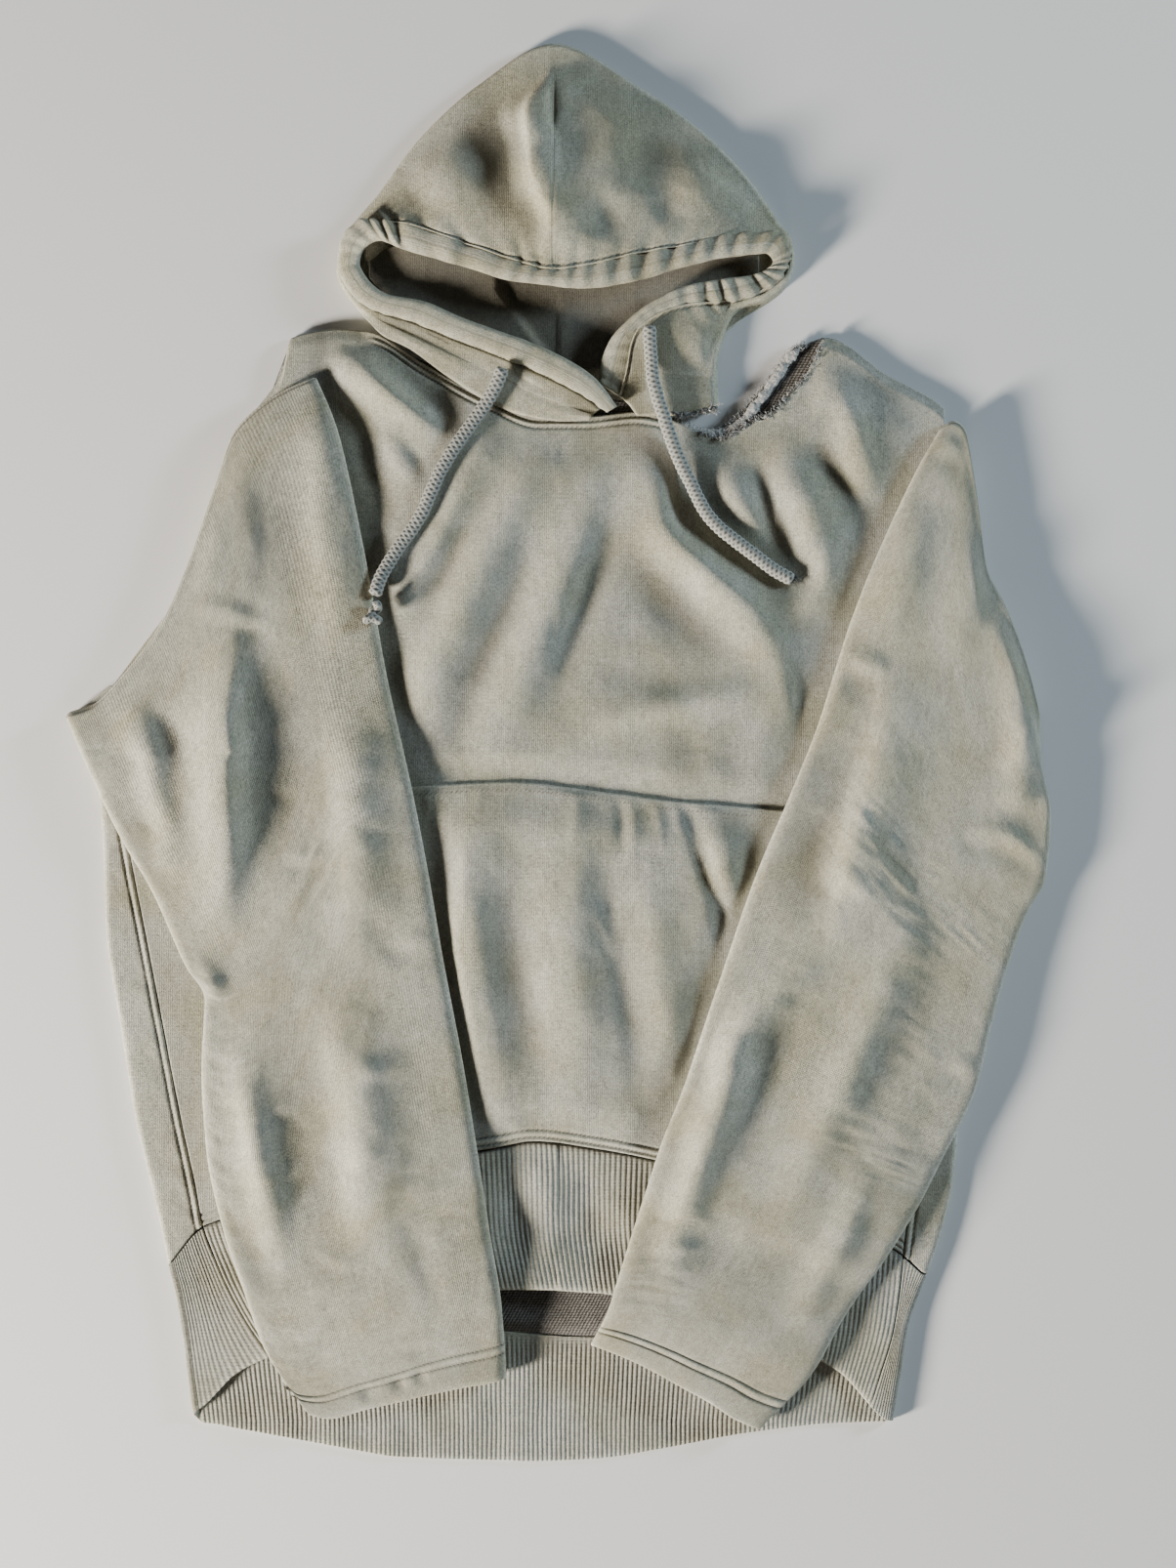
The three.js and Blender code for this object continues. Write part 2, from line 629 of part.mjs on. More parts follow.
const wrapTurns = {
  right: shares(28).map((s) => lerp(2, -1, s)),
  left: shares(12).map((s) => lerp(-1, 2, s)),
};
const plainTurns = [2, 1.5, 1, 0.5, 0, -0.5, -1];
const backRibCount = Math.round((leftFold(-385) - rightFold(-385)) / RIB_PITCH);
const outerWrap = (side, turns, v) => (
  turns.map((turn, k) => ribWrapPoint(side, turn, v, turn > -0.4 ? ribWave(k) : 0)));
const backRibOuter = backRibRows.map((v) => [
  ...outerWrap(-1, wrapTurns.right, v),
  ...shares(18).slice(1, -1).map((u) => backRibPoint(u, v, 0)),
  ...outerWrap(1, wrapTurns.left, v),
].reverse());
const backRibInner = backRibRows.map((v) => [
  ...plainTurns.map((turn) => ribWrapPoint(-1, turn, v, -RIB_CLOTH)),
  ...shares(backRibCount * 2).slice(1, -1).map((u, k) => backRibPoint(u, v, RIB_CLOTH + ribWave(k))),
  ...[...plainTurns].reverse().map((turn) => ribWrapPoint(1, turn, v, -RIB_CLOTH)),
].reverse());
addPiece('hem_rib_back', wallBetween(backRibOuter, backRibInner), colours.rib);

// Top of what a sleeve rests on: the front, the pocket's thickness, and the open hem
function underSleeve(x, y) {
  const onPocket = smoothStep(-60, -24, x - pocketRight(y)) * smoothStep(-60, -24, pocketLeft(y) - x)
    * smoothStep(40, 10, y - pocketTopAt(x)) * smoothStep(-40, -14, y - seamOf.front(x));
  const pastHem = smoothStep(0, -50, y - hemOf.front(x));
  const nearHem = smoothStep(70, 10, y - hemOf.front(x)) * smoothStep(240, 40, Math.abs(x));
  const lift = (HEM_LIFT + SLEEVE_CLEARANCE) * nearHem * (1 - pastHem);
  const sag = 2 * pastHem;
  return FRONT_TOP + SLEEVE_CLEARANCE + (POCKET_TOP - FRONT_TOP) * onPocket + lift - sag;
}

// Sleeve: a flattened tube whose sections run from the inner to the outer edge
function sleeve(name, rows, ends, folds, innerIsRight) {
  const inner = { x: along(rows, 'innerX'), y: along(rows, 'innerY') };
  const outer = { x: along(rows, 'outerX'), y: along(rows, 'outerY') };
  const arm = { x: column(ends, 'across', 'armX'), y: column(ends, 'across', 'armY') };
  const cuff = { x: column(ends, 'across', 'cuffX'), y: column(ends, 'across', 'cuffY') };
  const armHeight = column(ends, 'across', 'armZ');
  const blend = (u, v, axis) => (
    lerp(arm[axis](u), cuff[axis](u), v) + lerp(inner[axis](v), outer[axis](v), u)
    - lerp(lerp(arm[axis](0), arm[axis](1), u), lerp(cuff[axis](0), cuff[axis](1), u), v));
  const rollDistances = [0, 1.2, 3.4, ARMHOLE_ROLL, 18];
  const stations = [
    ...rollDistances.map((distance) => distance / SLEEVE_LENGTH),
    ...shares(13).map((s) => lerp(0.07, 1, s)),
  ];
  // Section round the sleeve: distance in from an edge, which edge, and which layer.
  // The fold at an edge is a half round of five points.
  const halfRound = FOLD_REACH * (1 - Math.SQRT1_2);
  const upperShares = [0.12, 0.25, 0.38, 0.5, 0.62, 0.75, 0.88];
  const lowerShares = [0.8, 0.5, 0.2];
  const section = [
    { from: 0, inset: FOLD_REACH, level: 1 },
    ...upperShares.map((share) => ({ share, level: 1 })),
    { from: 1, inset: FOLD_REACH, level: 1 },
    { from: 1, inset: halfRound, level: Math.SQRT1_2 },
    { from: 1, inset: 0, level: 0 },
    { from: 1, inset: halfRound, level: -Math.SQRT1_2 },
    { from: 1, inset: FOLD_REACH, level: -1 },
    ...lowerShares.map((share) => ({ share, level: -1 })),
    { from: 0, inset: FOLD_REACH, level: -1 },
    { from: 0, inset: halfRound, level: -Math.SQRT1_2 },
    { from: 0, inset: 0, level: 0 },
    { from: 0, inset: halfRound, level: Math.SQRT1_2 },
  ];
  if (innerIsRight) section.reverse();
  const place = (station, spot) => {
    const lowerStart = ARMHOLE_ROLL / SLEEVE_LENGTH;
    const v = lerp(station, lerp(lowerStart, 1, station), (1 - spot.level) / 2);
    const fromArm = station * SLEEVE_LENGTH;
    const width = Math.hypot(inner.x(v) - outer.x(v), inner.y(v) - outer.y(v));
    const u = spot.share ?? Math.abs(spot.from - spot.inset / width);
    const x = blend(u, v, 'x');
    const y = blend(u, v, 'y');
    const base = underSleeve(x, y) - (SLEEVE_CLEARANCE - SEAM_GAP) * smoothStep(30, 8, fromArm);
    const roll = Math.sqrt(1 - (1 - clamp01(fromArm / ARMHOLE_ROLL)) ** 2);
    const inFold = Math.sin(Math.PI * clamp01(u)) ** 0.7 * smoothStep(8, 60, fromArm);
    const ridge = Math.max(0, foldHeight(folds, x, y)) * inFold * Math.max(0, spot.level);
    const flat = base + (SLEEVE_HEIGHT + ridge) * (1 + spot.level) / 2;
    const rolled = lerp(armHeight(u), flat, roll);
    return new THREE.Vector3(x, y, lerp(flat, rolled, (1 + spot.level) / 2));
  };
  const rings = stations.map((station) => section.map((spot) => place(station, spot)));
  addPiece(name, clothWall(rings, FLEECE, true), colours.sleeve);
}
sleeve('sleeve_right', rightSleeveRows, rightSleeveEnds, rightSleeveFolds, true);
sleeve('sleeve_left', leftSleeveRows, leftSleeveEnds, leftSleeveFolds, false);

// Hood casing: the turned edge with its gathers, closed over the cord
const hoodColumn = Object.fromEntries(
  Object.keys(hoodRows[0]).map((name) => [name, along(hoodRows, name)]),
);
const casingStations = shares(GATHERS * 2);
const casingSection = shares(8).slice(0, -1).map((s) => s * 2 * Math.PI);
function casingRing(share) {
  const at = (name) => hoodColumn[name](share);
  const innerPoint = new THREE.Vector3(at('innerX'), at('innerY'), at('rim'));
  const outerPoint = new THREE.Vector3(at('outerX'), at('outerY'), at('rim') - 0.8);
  const middle = innerPoint.clone().lerp(outerPoint, 0.5);
  const across = innerPoint.clone().sub(outerPoint);
  const gather = 0.5 + 0.5 * Math.cos(share * GATHERS * 2 * Math.PI);
  const crown = smoothStep(0.36, 0.46, share) * smoothStep(0.78, 0.7, share);
  const halfWidth = across.length() / 2 - 1.1 * gather * (0.4 + 0.6 * crown);
  const fromEnds = smoothStep(0, 0.06, share) * smoothStep(0, 0.1, 1 - share);
  const halfHeight = CASING_HEIGHT / 2 * lerp(0.72, 1, fromEnds) - 0.7 * gather * (0.3 + 0.7 * crown);
  across.normalize();
  return casingSection.map((angle) => {
    const point = middle.clone().addScaledVector(across, halfWidth * Math.cos(angle));
    point.z += halfHeight * Math.sin(angle);
    return point;
  });
}
// Solid bead through a run of rings, closed at both ends
function bead(rings) {
  const ends = [rings[0], rings.at(-1)].map((ring) => {
    const centre = new THREE.Vector3();
    ring.forEach((point) => centre.addScaledVector(point, 1 / ring.length));
    return centre;
  });
  const positions = [];
  const indices = [];
  const count = rings[0].length;
  rings.flat().concat(ends).forEach((point) => positions.push(point.x, point.y, point.z));
  for (let i = 0; i + 1 < rings.length; i += 1) {
    for (let j = 0; j < count; j += 1) {
      const [a, b] = [i * count + j, i * count + (j + 1) % count];
      indices.push(a, a + count, b + count, a, b + count, b);
    }
  }
  const last = (rings.length - 1) * count;
  for (let j = 0; j < count; j += 1) {
    const next = (j + 1) % count;
    indices.push(rings.length * count, j, next, rings.length * count + 1, last + next, last + j);
  }
  const geometry = new THREE.BufferGeometry();
  geometry.setAttribute('position', new THREE.Float32BufferAttribute(positions, 3));
  geometry.setIndex(indices);
  geometry.computeVertexNormals();
  return geometry;
}
addPiece('hood_casing', bead(casingStations.map(casingRing)), colours.hood);

// Hood panels: from the casing over the outline's fold to the neck, or straight down in front
const hoodSteps = [0, 0.12, 0.3, 0.5, 0.75, 1, 1.25, 1.5, 1.75, 2, 2.35, 2.7, 3];
// The hood's back narrows to the neck: how far it reaches to the wearer's left by height
const hoodWaist = column(table(['y', 'x'], [
  [240, 94],
  [262, 95],
  [285, 103],
  [300, 118],
  [335, 160],
]), 'y', 'x');
function hoodPoint(step, share) {
  const at = (name) => hoodColumn[name](share);
  const inner = new THREE.Vector3(at('innerX'), at('innerY'), 0);
  const start = new THREE.Vector3(at('outerX'), at('outerY'), 0);
  const away = start.clone().sub(inner).normalize();
  const edge = new THREE.Vector3(at('edgeX'), at('edgeY'), 0);
  const tucked = smoothStep(18, 8, start.distanceTo(edge)) * smoothStep(0.85, 0.75, share);
  start.addScaledVector(away, lerp(1.6, -4, tucked));
  start.z = at('rim') - lerp(0.4, CASING_HEIGHT / 2 + 0.9, tucked);
  const edgeTop = Math.min(at('edgeTop'), start.z - 0.4);
  const end = new THREE.Vector3(at('endX'), at('endY'), at('endTop'));
  const towardStart = start.clone().sub(edge).setZ(0);
  const towardEnd = end.clone().sub(edge).setZ(0);
  const reachTop = Math.min(FOLD_REACH, towardStart.length() * 0.5);
  const reachUnder = Math.min(FOLD_REACH, towardEnd.length() * 0.5);
  const top = edge.clone().addScaledVector(towardStart.normalize(), reachTop).setZ(edgeTop);
  const under = edge.clone().addScaledVector(towardEnd.normalize(), reachUnder).setZ(at('edgeUnder'));
  if (step <= 1) {
    const point = start.clone().lerp(top, step);
    const slack = Math.sin(Math.PI * step) * smoothStep(20, 90, start.distanceTo(top));
    point.z += slack * foldHeight(hoodFolds, point.x, point.y);
    return point;
  }
  if (step < 2) {
    const angle = (step - 1) * Math.PI;
    const weight = (1 - Math.cos(angle)) / 2;
    const out = edge.clone().setZ((edgeTop + at('edgeUnder')) / 2);
    const side = weight < 0.5 ? top : under;
    const pull = Math.sin(angle);
    const point = side.clone().lerp(out, pull);
    point.z = lerp(edgeTop, at('edgeUnder'), weight);
    return point;
  }
  const t = step - 2;
  const point = under.clone().lerp(end, t);
  const middle = under.clone().lerp(end, 0.5);
  const folded = smoothStep(4, 1, at('edgeUnder'));
  point.x -= folded * 4 * t * (1 - t) * Math.max(0, middle.x - hoodWaist(middle.y));
  return point;
}
const CROWN_SHARE = 14 / (hoodRows.length - 1);
const seamShare = 0.0008;
const hoodRight = shares(26).map((s) => lerp(0.01, CROWN_SHARE - seamShare, s));
const hoodLeft = shares(28).map((s) => lerp(CROWN_SHARE + seamShare, 1, s));
for (const [name, rows] of [['hood_panel_right', hoodRight], ['hood_panel_left', hoodLeft]]) {
  addPiece(name, clothWall(grid(rows, hoodSteps, hoodPoint), HOOD_CLOTH), colours.hood);
}

// Lining, lying in the hood: the wearer's right part lies higher, with a fold at its edge
const liningUpper = column(liningRows, 'x', 'upper');
const liningLower = column(liningRows, 'x', 'lower');
function liningPoint(u, v) {
  const x = lerp(liningRows[0].x, liningRows.at(-1).x, u);
  const y = lerp(liningUpper(x), liningLower(x), v);
  const foldX = lerp(-33, 6, clamp01((299 - y) / 53));
  const raised = 2.4 * smoothStep(0, -12, x - foldX) * smoothStep(-125, -90, x);
  return new THREE.Vector3(x, y, HOOD_CLOTH + SEAM_GAP + LINING_CLOTH + raised);
}
addPiece('hood_lining', flatCloth(grid(shares(4), shares(18), liningPoint), LINING_CLOTH), colours.lining);

// Drawcord ends: round cord along their routes
function cordGeometry(route) {
  const points = route.map(({ x, y, z }) => new THREE.Vector3(x, y, z));
  const path = new THREE.CatmullRomCurve3(points, false, 'centripetal');
  const section = new THREE.Shape();
  section.absarc(0, 0, CORD_DIAMETER / 2, 0, 2 * Math.PI);
  const steps = Math.round(path.getLength() / (CORD_DIAMETER * 2));
  return new THREE.ExtrudeGeometry(section, { steps, extrudePath: path, curveSegments: 4 });
}
addPiece('drawcord_right', cordGeometry(rightCordRoute), colours.cord);
addPiece('drawcord_left', cordGeometry(leftCordRoute), colours.cord);

// Knot at the end of the wearer's right cord: two soft lobes
function knotRing(share) {
  const angle = share * Math.PI;
  const waist = 0.22 * smoothStep(0.2, 0, Math.abs(share - 0.5));
  const radius = Math.max(0.6, knot.radius * Math.sin(angle) ** 0.6 * (1 - waist));
  return shares(10).slice(0, -1).map((s) => new THREE.Vector3(
    knot.x + radius * Math.cos(s * 2 * Math.PI),
    knot.y + knot.length * Math.cos(angle),
    knot.z - radius * 0.8 * Math.sin(s * 2 * Math.PI)));
}
addPiece('cord_knot', bead(shares(10).map(knotRing)), colours.cord);

export default hoodie;
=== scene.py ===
"""Pullover hoodie laid flat on its back, both sleeves folded over the front, seen from above.

Sides are the wearer's: the wearer's right is at -X and the hood at +Y. Tables and shapes are
worked out in millimetres and turned to metres when a mesh is made.
"""
import math
from collections import namedtuple

import bpy
import numpy as np
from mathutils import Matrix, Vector


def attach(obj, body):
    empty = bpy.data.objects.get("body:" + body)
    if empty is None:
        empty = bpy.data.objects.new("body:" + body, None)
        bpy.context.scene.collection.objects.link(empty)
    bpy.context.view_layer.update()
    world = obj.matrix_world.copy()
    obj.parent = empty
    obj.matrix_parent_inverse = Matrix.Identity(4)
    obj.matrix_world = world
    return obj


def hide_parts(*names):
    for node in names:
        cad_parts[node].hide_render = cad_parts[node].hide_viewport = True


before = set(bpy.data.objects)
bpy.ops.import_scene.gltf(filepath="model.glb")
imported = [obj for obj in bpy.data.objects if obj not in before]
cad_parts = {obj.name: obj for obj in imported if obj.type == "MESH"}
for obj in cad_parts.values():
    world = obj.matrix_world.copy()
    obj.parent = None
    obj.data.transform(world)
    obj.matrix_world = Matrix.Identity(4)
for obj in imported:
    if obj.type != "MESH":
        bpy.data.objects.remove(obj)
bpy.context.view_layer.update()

MM = 0.001

# The photograph's frame and scale
IMAGE_HEIGHT = 1606
MM_PER_PIXEL = 0.63
LENS = 50
SENSOR = 36
VIEW_CENTRE = (19.5, -20.2)      # the point under the middle of the picture
MIDDLE_HEIGHT = 7                # height at which the scale holds

# Driving dimensions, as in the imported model
FLEECE = 2.2
HOOD_CLOTH = 2.6
LINING_CLOTH = 2.0
RIB_CLOTH = 1.6
RIB_HEIGHT = 0.8
RIB_RISE = 0.60                  # share of that height from furrow to top
RIB_FURROW = 0.25                # share of it under the furrows
RIB_PITCH = 3.15
SEAM_GAP = 0.3
LOFT = 2.5
SLEEVE_HEIGHT = 7.0
SLEEVE_CLEARANCE = 0.9
SLEEVE_LENGTH = 640
ARMHOLE_ROLL = 7
FOLD_REACH = 4.5
FLOOR_CLEARANCE = 0.4
CORD_DIAMETER = 8.0
CASING_HEIGHT = 6.4
GATHERS = 34
OPEN_LIFT = 4.0                  # the front's bare cloth stands off the back
HEM_LIFT = 5.0
FRONT_TOP = FLEECE + LOFT + FLEECE
POCKET_TOP = FRONT_TOP + SEAM_GAP + FLEECE

# How fine the cloth is meshed, and where its stitching runs
CLOTH_STEP = 2.5                 # between two points in open cloth
FINE_STEP = 0.5                  # between two points at an edge or a seam
STITCH_DEPTH = 0.75              # how deep a row of stitches pulls the cloth in
STITCH_REACH = 1.1               # half width of that groove
CUFF_STITCHES = (19.5, 26.5)     # twin rows, from the cuff's edge
SLEEVE_EDGE = 8.5                # how far a sleeve's soft edge takes to round over


# Camera, lights and floor


def add_camera():
    """Looks straight down, with the top of the picture at +Y."""
    data = bpy.data.cameras.new("camera")
    data.lens = LENS
    data.sensor_fit = "VERTICAL"
    data.sensor_height = SENSOR
    camera = bpy.data.objects.new("camera", data)
    distance = IMAGE_HEIGHT * MM_PER_PIXEL * LENS / SENSOR
    camera.location = (VIEW_CENTRE[0] * MM, VIEW_CENTRE[1] * MM, (MIDDLE_HEIGHT + distance) * MM)
    bpy.context.scene.collection.objects.link(camera)
    bpy.context.scene.camera = camera


def add_light(name, place, size, power, colour, aim=(0, 0, 0)):
    data = bpy.data.lights.new(name, "AREA")
    data.shape = "DISK"
    data.size = size
    data.energy = power
    data.color = colour
    light = bpy.data.objects.new(name, data)
    light.location = place
    light.rotation_euler = (Vector(aim) - Vector(place)).to_track_quat("-Z", "Y").to_euler()
    bpy.context.scene.collection.objects.link(light)


def add_surroundings():
    """Soft studio light: a warm key past the wearer's right hip, a cool one at the left, a weak one below."""
    add_light("key_light", (-2.3, -1.35, 0.80), 0.55, 320, (1.0, 0.95, 0.88))
    add_light("cool_light", (2.4, 0.95, 0.80), 0.55, 74, (0.64, 0.83, 1.0))
    add_light("low_light", (0.5, -2.6, 0.8), 0.6, 9, (1.0, 0.97, 0.93))
    world = bpy.data.worlds.new("studio")
    world.use_nodes = True
    world.node_tree.nodes["Background"].inputs["Color"].default_value = (0.88, 0.92, 0.96, 1)
    world.node_tree.nodes["Background"].inputs["Strength"].default_value = 0.055
    bpy.context.scene.world = world
    half = 4.0
    below = -0.0003
    mesh = bpy.data.meshes.new("floor")
    corners = [(-half, -half, below), (half, -half, below), (half, half, below), (-half, half, below)]
    mesh.from_pydata(corners, [], [(0, 1, 2, 3)])
    floor = bpy.data.objects.new("floor", mesh)
    floor.data.materials.append(floor_finish())
    bpy.context.scene.collection.objects.link(floor)


# Materials


class Reading:
    """One output of a material's nodes. Arithmetic on it adds Math nodes."""

    def __init__(self, finish, socket):
        self.finish = finish
        self.socket = socket

    def math(self, operation, *values):
        sockets = dict(enumerate(values))
        return self.finish.node("Math", {"operation": operation}, sockets)

    def __add__(self, other):
        return self.math("ADD", self, other)

    def __radd__(self, other):
        return self.math("ADD", other, self)

    def __sub__(self, other):
        return self.math("SUBTRACT", self, other)

    def __rsub__(self, other):
        return self.math("SUBTRACT", other, self)

    def __mul__(self, other):
        return self.math("MULTIPLY", self, other)

    def __rmul__(self, other):
        return self.math("MULTIPLY", other, self)

    def __truediv__(self, other):
        return self.math("DIVIDE", self, other)

    def __pow__(self, other):
        return self.math("POWER", self, other)

    def size(self):
        return self.math("ABSOLUTE", self)

    def fraction(self):
        return self.math("FRACT", self)


class Finish:
    """A material that is put together node by node."""

    def __init__(self, name):
        self.material = bpy.data.materials.new(name)
        self.material.use_nodes = True
        self.nodes = self.material.node_tree.nodes
        self.links = self.material.node_tree.links
        self.nodes.clear()

    def node(self, kind, settings, sockets, output=0):
        """Adds one node: its settings first, then what its sockets hold or are linked to."""
        made = self.nodes.new("ShaderNode" + kind)
        for name, value in settings.items():
            if name == "stops":
                self.set_stops(made.color_ramp, value)
            else:
                setattr(made, name, value)
        for name, value in sockets.items():
            if isinstance(value, Reading):
                self.links.new(value.socket, made.inputs[name])
            else:
                made.inputs[name].default_value = value
        if not made.outputs:
            return None
        return Reading(self, made.outputs[output])

    def set_stops(self, ramp, stops):
        while len(ramp.elements) < len(stops):
            ramp.elements.new(1)
        for element, (place, grey) in zip(ramp.elements, stops):
            element.position = place
            element.color = (grey, grey, grey, 1)

    def ramp(self, value, *stops):
        return self.node("ValToRGB", {"stops": stops}, {0: value})

    def between(self, factor, first, second, mode="MIX"):
        """Mixes two colours."""
        settings = {"data_type": "RGBA", "blend_type": mode}
        return self.node("Mix", settings, {0: factor, 6: first, 7: second}, 2)

    def place(self):
        """Where a point lies on the cut cloth in millimetres: across the wales, and down them."""
        uv = self.node("UVMap", {"uv_map": "cloth"}, {})
        scaled = self.node("VectorMath", {"operation": "SCALE"}, {0: uv, "Scale": 1 / MM})
        return scaled

    def split(self, vector):
        across = self.node("SeparateXYZ", {}, {0: vector}, 0)
        down = self.node("SeparateXYZ", {}, {0: vector}, 1)
        return across, down

    def stretched(self, vector, across, down):
        return self.node("VectorMath", {"operation": "MULTIPLY"}, {0: vector, 1: (across, down, 1)})

    def noise(self, vector, size, detail=2, roughness=0.5):
        """Cloudy value from 0 to 1 whose lumps are about so many millimetres large."""
        sockets = {"Vector": vector, "Scale": 1 / size, "Detail": detail, "Roughness": roughness}
        return self.node("TexNoise", {}, sockets)

    def mask(self, name):
        return self.node("Attribute", {"attribute_name": name}, {}, 2)

    def bump(self, height, depth, strength=1.0, under=None):
        sockets = {"Strength": strength, "Distance": depth * MM, "Height": height}
        if under is not None:
            sockets["Normal"] = under
        return self.node("Bump", {}, sockets)

    def surface(self, colour, normal, roughness=0.95, sheen=0.0, sheen_roughness=0.5):
        sockets = {
            "Base Color": colour,
            "Roughness": roughness,
            "Specular IOR Level": 0.18,
            "Sheen Weight": sheen,
            "Sheen Roughness": sheen_roughness,
            "Normal": normal,
        }
        shader = self.node("BsdfPrincipled", {}, sockets)
        self.node("OutputMaterial", {}, {"Surface": shader})
        return self.material


def floor_finish():
    finish = Finish("floor_paper")
    where = finish.node("TexCoord", {}, {}, 3)
    grain = finish.node("TexNoise", {}, {"Vector": where, "Scale": 900, "Detail": 3})
    normal = finish.bump(grain, 0.1, 0.2)
    return finish.surface((0.70, 0.69, 0.67, 1), normal, roughness=0.9)


def linear(red, green, blue):
    """A colour given as 0 to 255 on screen, as light."""
    return tuple(((part / 255 + 0.055) / 1.055) ** 2.4 for part in (red, green, blue)) + (1,)


def washed(finish, where, base, faded, olive, contrast=1.0):
    """Colour of garment-washed cloth: cloudy fading, a warm cast in patches, heathered speckle, lighter with
    rubbing and painted highlights, darker with painted shade.
    """
    clouds = finish.noise(where, 42, 4, 0.6)
    patches = finish.noise(where, 15, 3, 0.6)
    streaks = finish.noise(finish.stretched(where, 1, 0.3), 5, 3, 0.6)
    speckle = finish.noise(finish.stretched(where, 1, 0.7), 1.0, 3, 0.8)
    fade = finish.ramp(clouds * 0.55 + patches * 0.45, (0.30, 0.18), (0.72, 0.82))
    warm = finish.ramp(finish.noise(where, 52, 3, 0.5), (0.40, 0), (0.62, 1))
    painted_highlight_and_rubbing = finish.mask("wear")
    deep = finish.mask("shade")
    colour = finish.between(fade, base, faded)
    colour = finish.between(warm * 0.6, colour, olive)
    heather = finish.noise(finish.stretched(where, 1, 0.6), 2.6, 3, 0.7)
    light = 1 + (heather - 0.5) * (0.85 * contrast)
    light = light + (speckle - 0.5) * (2.1 * contrast)
    light = light + (streaks - 0.5) * (0.45 * contrast)
    # lighter with rubbing and painted highlights on ridges and edges, darker with painted shade in troughs,
    # grooves and gaps
    light = light * (1 + painted_highlight_and_rubbing * 0.30) * (1 - deep * 0.72)
    # dashed dark line along each row of stitches: needle holes and painted shade in its groove, broken by the
    # thread
    across, down = finish.split(where)
    dash = finish.ramp(((across + down) / 3.1).fraction(), (0.30, 0), (0.42, 1))
    sewn = finish.mask("stitch")
    light = light * (1 - sewn * (0.75 - dash * 0.75))
    scale = finish.node("CombineColor", {}, {0: light, 1: light, 2: light * (1 + (speckle - 0.5) * 0.06)})
    return finish.between(1.0, colour, scale, "MULTIPLY")


def knit_relief(finish, where, wale, course, uneven=0.5):
    """Face of a jersey: columns of small V stitches, a little uneven, under short fuzz."""
    across, down = finish.split(where)
    wander = (finish.noise(where, 4, 2) - 0.5) * uneven
    column = ((across + wander) / wale).fraction() - 0.5
    vee = (down / course + column.size() * 0.9).fraction() - 0.5
    stitch = (1 - column.size() * 2) * 0.45 + (1 - vee.size() * 2) * 0.55
    fuzz = finish.noise(where, 0.5, 3, 0.75)
    return stitch * 0.6 + fuzz * 0.7


def fleece_finish(name, base, faded, olive, contrast=1.0, sheen=0.12):
    finish = Finish(name)
    where = finish.place()
    colour = washed(finish, where, base, faded, olive, contrast)
    lumps = finish.bump(finish.noise(where, 6, 3, 0.6), 0.9, 0.35)
    normal = finish.bump(knit_relief(finish, where, 1.15, 0.85), 0.48, 0.95, lumps)
    return finish.surface(colour, normal, 0.95, sheen)


def rib_finish():
    """Rib knit: the furrows between ribs are painted darker as shade, the ribs' tops lighter with rubbing and
    a painted highlight.
    """
    finish = Finish("rib_knit")
    where = finish.place()
    colour = washed(finish, where, linear(150, 148, 135), linear(180, 178, 166), linear(149, 144, 122), 0.9)
    # painted shade in the furrows
    furrow = finish.mask("furrow")
    darkened = finish.between(furrow * 0.14, colour, linear(84, 81, 72))
    _, down = finish.split(where)
    rows = (down / 0.9).fraction() - 0.5
    stitch = (1 - rows.size() * 2) + finish.noise(where, 0.5, 2, 0.7) * 0.6
    normal = finish.bump(stitch, 0.25, 0.8)
    return finish.surface(darkened, normal, 0.95, 0.1)


def terry_finish():
    """Loopback inner side: slanted rows of small loops, less faded than the face and darker with painted
    shade, both where it shows in the gaps under the front and between its loops.
    """
    finish = Finish("loopback")
    where = finish.place()
    across, down = finish.split(where)
    wander = (finish.noise(where, 5, 2) - 0.5) * 1.2
    slant = ((across + down * 0.55 + wander) / 2.3).fraction() - 0.5
    loop = ((down + wander) / 1.7).fraction() - 0.5
    loops = (1 - slant.size() * 2) * 0.6 + (1 - loop.size() * 2) * 0.4
    tone = finish.noise(where, 3, 3, 0.65) * 0.5 + loops * 0.5
    raised = finish.ramp(tone, (0.22, 0), (0.78, 1))
    # darker between the loops: painted shade
    colour = finish.between(raised, linear(50, 47, 43), linear(132, 127, 120))
    rough = finish.noise(where, 0.7, 3, 0.7)
    normal = finish.bump(loops + rough * 0.6, 0.7, 1.0)
    return finish.surface(colour, normal, 1.0, 0.05)


def cord_finish():
    """Braided cotton: pale strands, with painted shade and a greyer core in the gaps between them."""
    finish = Finish("braided_cotton")
    where = finish.place()
    strand = finish.mask("strand")
    fibres = finish.noise(finish.stretched(where, 1, 0.4), 0.5, 3, 0.7)
    tone = strand * 0.55 + fibres * 0.55
    raised = finish.ramp(tone, (0.25, 0), (0.95, 1))
    # darker between the strands: painted shade over a greyer core
    colour = finish.between(raised, linear(70, 71, 67), linear(172, 171, 162))
    normal = finish.bump(fibres, 0.3, 0.8)
    return finish.surface(colour, normal, 0.9, 0.1)


def fray_finish():
    """Pale loose yarn of a torn edge, with painted shade in the hollows between its loops."""
    finish = Finish("frayed_yarn")
    where = finish.place()
    tangle = finish.noise(where, 1.3, 4, 0.75)
    raised = finish.ramp(tangle, (0.34, 0), (0.62, 1))
    colour = finish.between(raised, linear(92, 88, 82), linear(206, 203, 196))
    return finish.surface(colour, finish.bump(tangle, 0.9, 1.0), 0.95, 0.2)


# Tables, each with a row for one section or point


def table(names, rows):
    """Turns rows of numbers into named columns."""
    return dict(zip(names.split(), np.array(rows, float).T))


